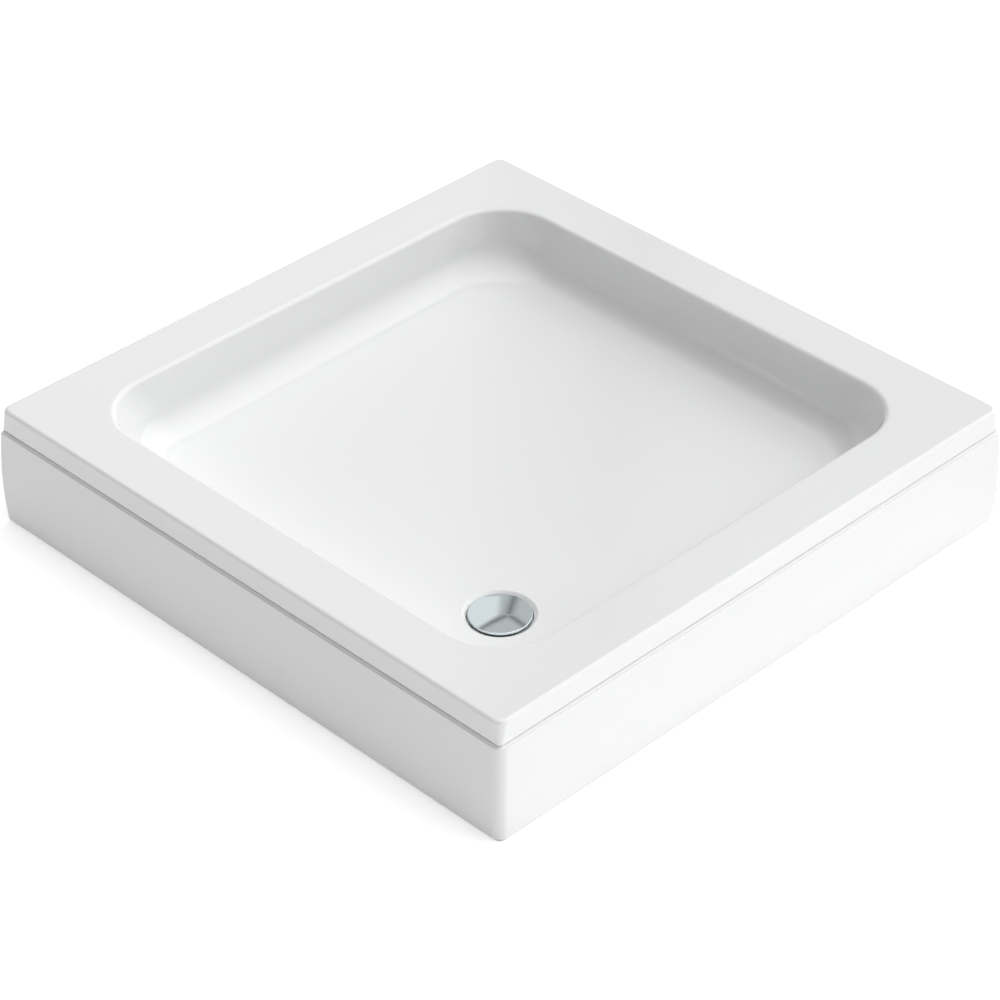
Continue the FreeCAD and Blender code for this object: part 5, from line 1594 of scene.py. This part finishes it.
# ------------------------------------------------------------------ the stage
@dataclass
class Sky:
    """The studio's light by direction: pale at the horizon, with a broad soft light at the back.

    Round the far corner the sky holds what the polished cover shows: a soft window, and the
    dim seams where two walls and the ceiling meet.
    """

    base: float = 0.08
    horizon: float = 0.6
    horizon_band: Pair = (0.10, 0.30)
    back: float = 1.74
    back_at: Pair = (75.0, 58.0)
    back_band: Pair = (0.3, 1.0)
    corner: float = 0.57
    corner_at: Pair = (135.0, 37.0)
    corner_band: Pair = (0.90, 0.975)
    window: float = 0.30
    window_band: Pair = (-0.012, 0.014)
    seam: float = 0.32
    seam_band: Pair = (-0.032, 0.032)
    seam_start: Pair = (-0.004, 0.012)
    look: Triple = (-0.5747, 0.5747, -0.5826)
    cover_radius: float = 40.0 * MM
    cover_crown: float = COVER_CROWN
    seam_middle: Pair = (11.5 * MM, 13.0 * MM)
    seam_ends: tuple[Pair, ...] = (
        (21.0 * MM, -28.5 * MM), (-17.0 * MM, 32.0 * MM), (29.0 * MM, 30.0 * MM),
    )
    window_sides: tuple[tuple[Pair, Pair], ...] = (
        ((1.0 * MM, -30.0 * MM), (-1.0 * MM, -2.1 * MM)),
        ((-1.5 * MM, 13.0 * MM), (-19.0 * MM, 30.0 * MM)),
        ((-30.0 * MM, -26.0 * MM), (5.0 * MM, -29.0 * MM)),
    )
    window_inside: Pair = (-25.0 * MM, 0.0)

    @staticmethod
    def toward(azimuth: float, elevation: float) -> Array:
        """The unit direction at an azimuth from +X and an elevation, in degrees."""
        a, e = radians(azimuth), radians(elevation)
        return np.array((cos(a) * cos(e), sin(a) * cos(e), sin(e)))

    def mirrored(self, right: float, near: float) -> Array:
        """The direction that the cover shows at a place right of and nearer than its middle.

        The dome leans by 2 * crown * distance / radius^2, and r = d - 2 (d . n) n.

        Args:
            right: distance to the right of the cover's middle, as the camera sees it.
            near: distance towards the camera.

        Returns:
            The unit direction.
        """
        lean = 2 * self.cover_crown / self.cover_radius**2
        look = np.array(self.look)
        across, toward = np.array(((1.0, 1.0, 0.0), (1.0, -1.0, 0.0))) / sqrt(2)
        normal = unit(np.array((0.0, 0.0, 1.0)) + lean * (right * across + near * toward))
        return look - 2 * np.dot(look, normal) * normal

    def band(self, made: Sockets, place: Socket, normal: Array, limits: Pair) -> Socket:
        """0 to 1 as the dot product of place and normal goes from low to high, eased.

        Args:
            made: the world's sockets.
            place: the direction of each ray.
            normal: the direction that it is compared with.
            limits: the dot products that become 0 and 1.

        Returns:
            A socket with values from 0 to 1.
        """
        inputs = {0: place, 1: tuple(float(part) for part in normal)}
        dot = made.add("VectorMath", inputs, operation="DOT_PRODUCT").outputs["Value"]
        return made.ramp(dot, *limits, interpolation_type="SMOOTHSTEP")

    def seams(self, made: Sockets, place: Socket) -> Socket:
        """1 on the three dim seams: each is 1 - |2 band - 1| across, and begins at their middle.

        Args:
            made: the world's sockets.
            place: the direction of each ray.

        Returns:
            A socket with values from 0 to 1.
        """
        middle = self.mirrored(*self.seam_middle)
        lines = []
        for end in (self.mirrored(*end) for end in self.seam_ends):
            across = self.band(made, place, unit(np.cross(middle, end)), self.seam_band)
            away = made.math("ABSOLUTE", made.math("SUBTRACT", made.math("MULTIPLY", across, 2.0), 1.0))
            reach = unit(end - middle)
            start = float(np.dot(middle, reach))
            low, high = self.seam_start
            ahead = self.band(made, place, reach, (start + low, start + high))
            lines.append(made.math("MULTIPLY", made.math("SUBTRACT", 1.0, away), ahead))
        return made.math("MAXIMUM", made.math("MAXIMUM", lines[0], lines[1]), lines[2])

    def corner_light(self, made: Sockets, place: Socket) -> Socket:
        """What the cover shows: the corner's own light, with the window and less the seams.

        Args:
            made: the world's sockets.
            place: the direction of each ray.

        Returns:
            A socket with the strength.
        """
        inside = self.mirrored(*self.window_inside)
        panes = []
        for first, second in self.window_sides:
            edge = unit(np.cross(self.mirrored(*first), self.mirrored(*second)))
            inward = edge if np.dot(edge, inside) > 0 else -edge
            panes.append(self.band(made, place, inward, self.window_band))
        window = made.math("MULTIPLY", made.math("MULTIPLY", panes[0], panes[1]), panes[2])
        lit = made.math("MULTIPLY", window, self.window)
        light = made.math("SUBTRACT", lit, made.math("MULTIPLY", self.seams(made, place), self.seam))
        return made.math("ADD", light, self.corner)

    def strength(self, made: Sockets) -> Socket:
        """The sky's strength in the direction of each ray.

        Args:
            made: the world's sockets.

        Returns:
            A socket with the strength.
        """
        place = made.add("TexCoord").outputs["Generated"]
        behind = self.band(made, place, self.toward(*self.back_at), self.back_band)
        above = self.band(made, place, self.toward(0, 90), self.horizon_band)
        back = made.math("MULTIPLY", behind, self.back)
        low = made.math("MULTIPLY", made.math("SUBTRACT", 1.0, above), self.horizon)
        lit = made.math("ADD", back, made.math("ADD", low, self.base))
        around = self.band(made, place, self.toward(*self.corner_at), self.corner_band)
        mixed = {0: around, 2: lit, 3: self.corner_light(made, place)}
        return made.add("Mix", mixed, data_type="FLOAT").outputs[0]


@dataclass
class Studio:
    """Pale floor, soft light and the photograph's camera."""

    floor_half: float = 40.0
    floor_gap: float = 0.3 * MM
    floor_color: Triple = (0.95, 0.95, 0.95)
    floor_second: Triple = (0.93575, 0.93575, 0.93575)
    floor_clouds: float = 3.0
    floor_roughness: float = 0.9
    floor_lift: float = 0.42
    overhead_height: float = 5.0
    overhead_side: float = 5.0
    overhead_power: float = 12.0
    strip_size: Pair = (2.6, 0.16)
    strip_away: float = 1.55
    strip_gap: float = 2.0 * MM
    strip_powers: Pair = (2.6, 1.0)
    camera_place: Triple = (2.62603, -2.62603, 2.68985)
    pitch: float = 0.6218529
    lens: float = 126.96
    film: float = 36.0
    far: float = 200.0
    sky: Sky = field(default_factory=Sky)

    def camera(self) -> None:
        """The camera on the tray's diagonal, pitched down."""
        data = bpy.data.cameras.new("camera")
        data.lens, data.sensor_width, data.clip_end = self.lens, self.film, self.far
        camera = bpy.data.objects.new("camera", data)
        camera.location = self.camera_place
        look = Vector((-cos(self.pitch) / sqrt(2), cos(self.pitch) / sqrt(2), -sin(self.pitch)))
        camera.rotation_euler = look.to_track_quat("-Z", "Y").to_euler()
        bpy.context.scene.collection.objects.link(camera)
        bpy.context.scene.camera = camera

    def floor(self) -> None:
        """A wide floor just under the feet, lifted towards white where it is looked at."""
        steps = np.linspace(-self.floor_half, self.floor_half, 9)
        x, y = np.meshgrid(steps, steps, indexing="ij")
        floor = make_piece("studio_floor", grid(np.stack([x, y, 0 * x - self.floor_gap], axis=-1)))
        material = bpy.data.materials.new("studio_floor")
        material.use_nodes = True
        made = Sockets(material.node_tree)
        shader = material.node_tree.nodes["Principled BSDF"]
        place = made.add("TexCoord").outputs["Object"]
        noise = made.add("TexNoise", {"Vector": place, "Scale": self.floor_clouds}).outputs["Fac"]
        path = made.add("LightPath")
        seen = made.math("MAXIMUM", path.outputs["Is Camera Ray"], path.outputs["Is Glossy Ray"])
        seen = made.math("MAXIMUM", seen, path.outputs["Is Transmission Ray"])
        inputs = {
            "Base Color": made.mixed(noise, (*self.floor_color, 1.0), (*self.floor_second, 1.0)),
            "Roughness": self.floor_roughness,
            "Specular IOR Level": 0.0,
            "Emission Color": WHITE,
            "Emission Strength": made.math("MULTIPLY", seen, self.floor_lift),
        }
        made.feed(shader, inputs)
        floor.data.materials.append(material)

    def light(self) -> None:
        """The sky, white where the camera looks at it, a lamp overhead and two strips near the floor.

        The strips stand lower than the rim, so that they light the apron and not the basin.
        """
        world = bpy.data.worlds.new("studio")
        bpy.context.scene.world = world
        world.use_nodes = True
        made = Sockets(world.node_tree)
        camera = made.add("LightPath").outputs["Is Camera Ray"]
        mixed = {0: camera, 2: self.sky.strength(made), 3: 1.0}
        strength = made.add("Mix", mixed, data_type="FLOAT").outputs[0]
        made.feed(world.node_tree.nodes["Background"], {"Color": WHITE, "Strength": strength})
        above, down = (0.0, 0.0, self.overhead_height), (0.0, 0.0, -1.0)
        square = (self.overhead_side, self.overhead_side)
        self.lamp("overhead_lamp", above, down, square, self.overhead_power)
        middle = self.strip_size[1] / 2 + self.strip_gap
        right, front = self.strip_powers
        self.lamp("right_strip", (self.strip_away, 0.0, middle), (-1.0, 0.0, 0.0), self.strip_size, right)
        self.lamp("front_strip", (0.0, -self.strip_away, middle), (0.0, 1.0, 0.0), self.strip_size, front)

    def lamp(self, name: str, place: Triple, aim: Triple, size: Pair, power: float) -> None:
        """A rectangular lamp at a place, facing along aim and hidden from the camera.

        Args:
            name: the lamp's name.
            place: its middle.
            aim: the direction it shines in.
            size: its width and its height.
            power: in watts.
        """
        data = bpy.data.lights.new(name, "AREA")
        data.shape, data.energy = "RECTANGLE", power
        data.size, data.size_y = size
        lamp = bpy.data.objects.new(name, data)
        lamp.location = place
        lamp.rotation_euler = Vector(aim).to_track_quat("-Z", "Y").to_euler()
        lamp.visible_camera = False
        bpy.context.scene.collection.objects.link(lamp)

    def build(self) -> None:
        """Camera, floor and light."""
        self.camera()
        self.floor()
        self.light()
        bpy.context.scene.view_settings.view_transform = "Standard"


def main() -> None:
    """Builds the stage and each sub-assembly in order."""
    logging.basicConfig(level=logging.INFO, format="%(name)s %(message)s")
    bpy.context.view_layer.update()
    Studio().build()
    dresser = Dresser()
    for part in (Tray(), Apron(), SupportFrame(), Catches(), Waste()):
        log.info("building %s", type(part).__name__)
        part.build(dresser)
    log.info("nodes without a piece: %s", list(dresser.left))


if __name__ == "__main__":
    main()
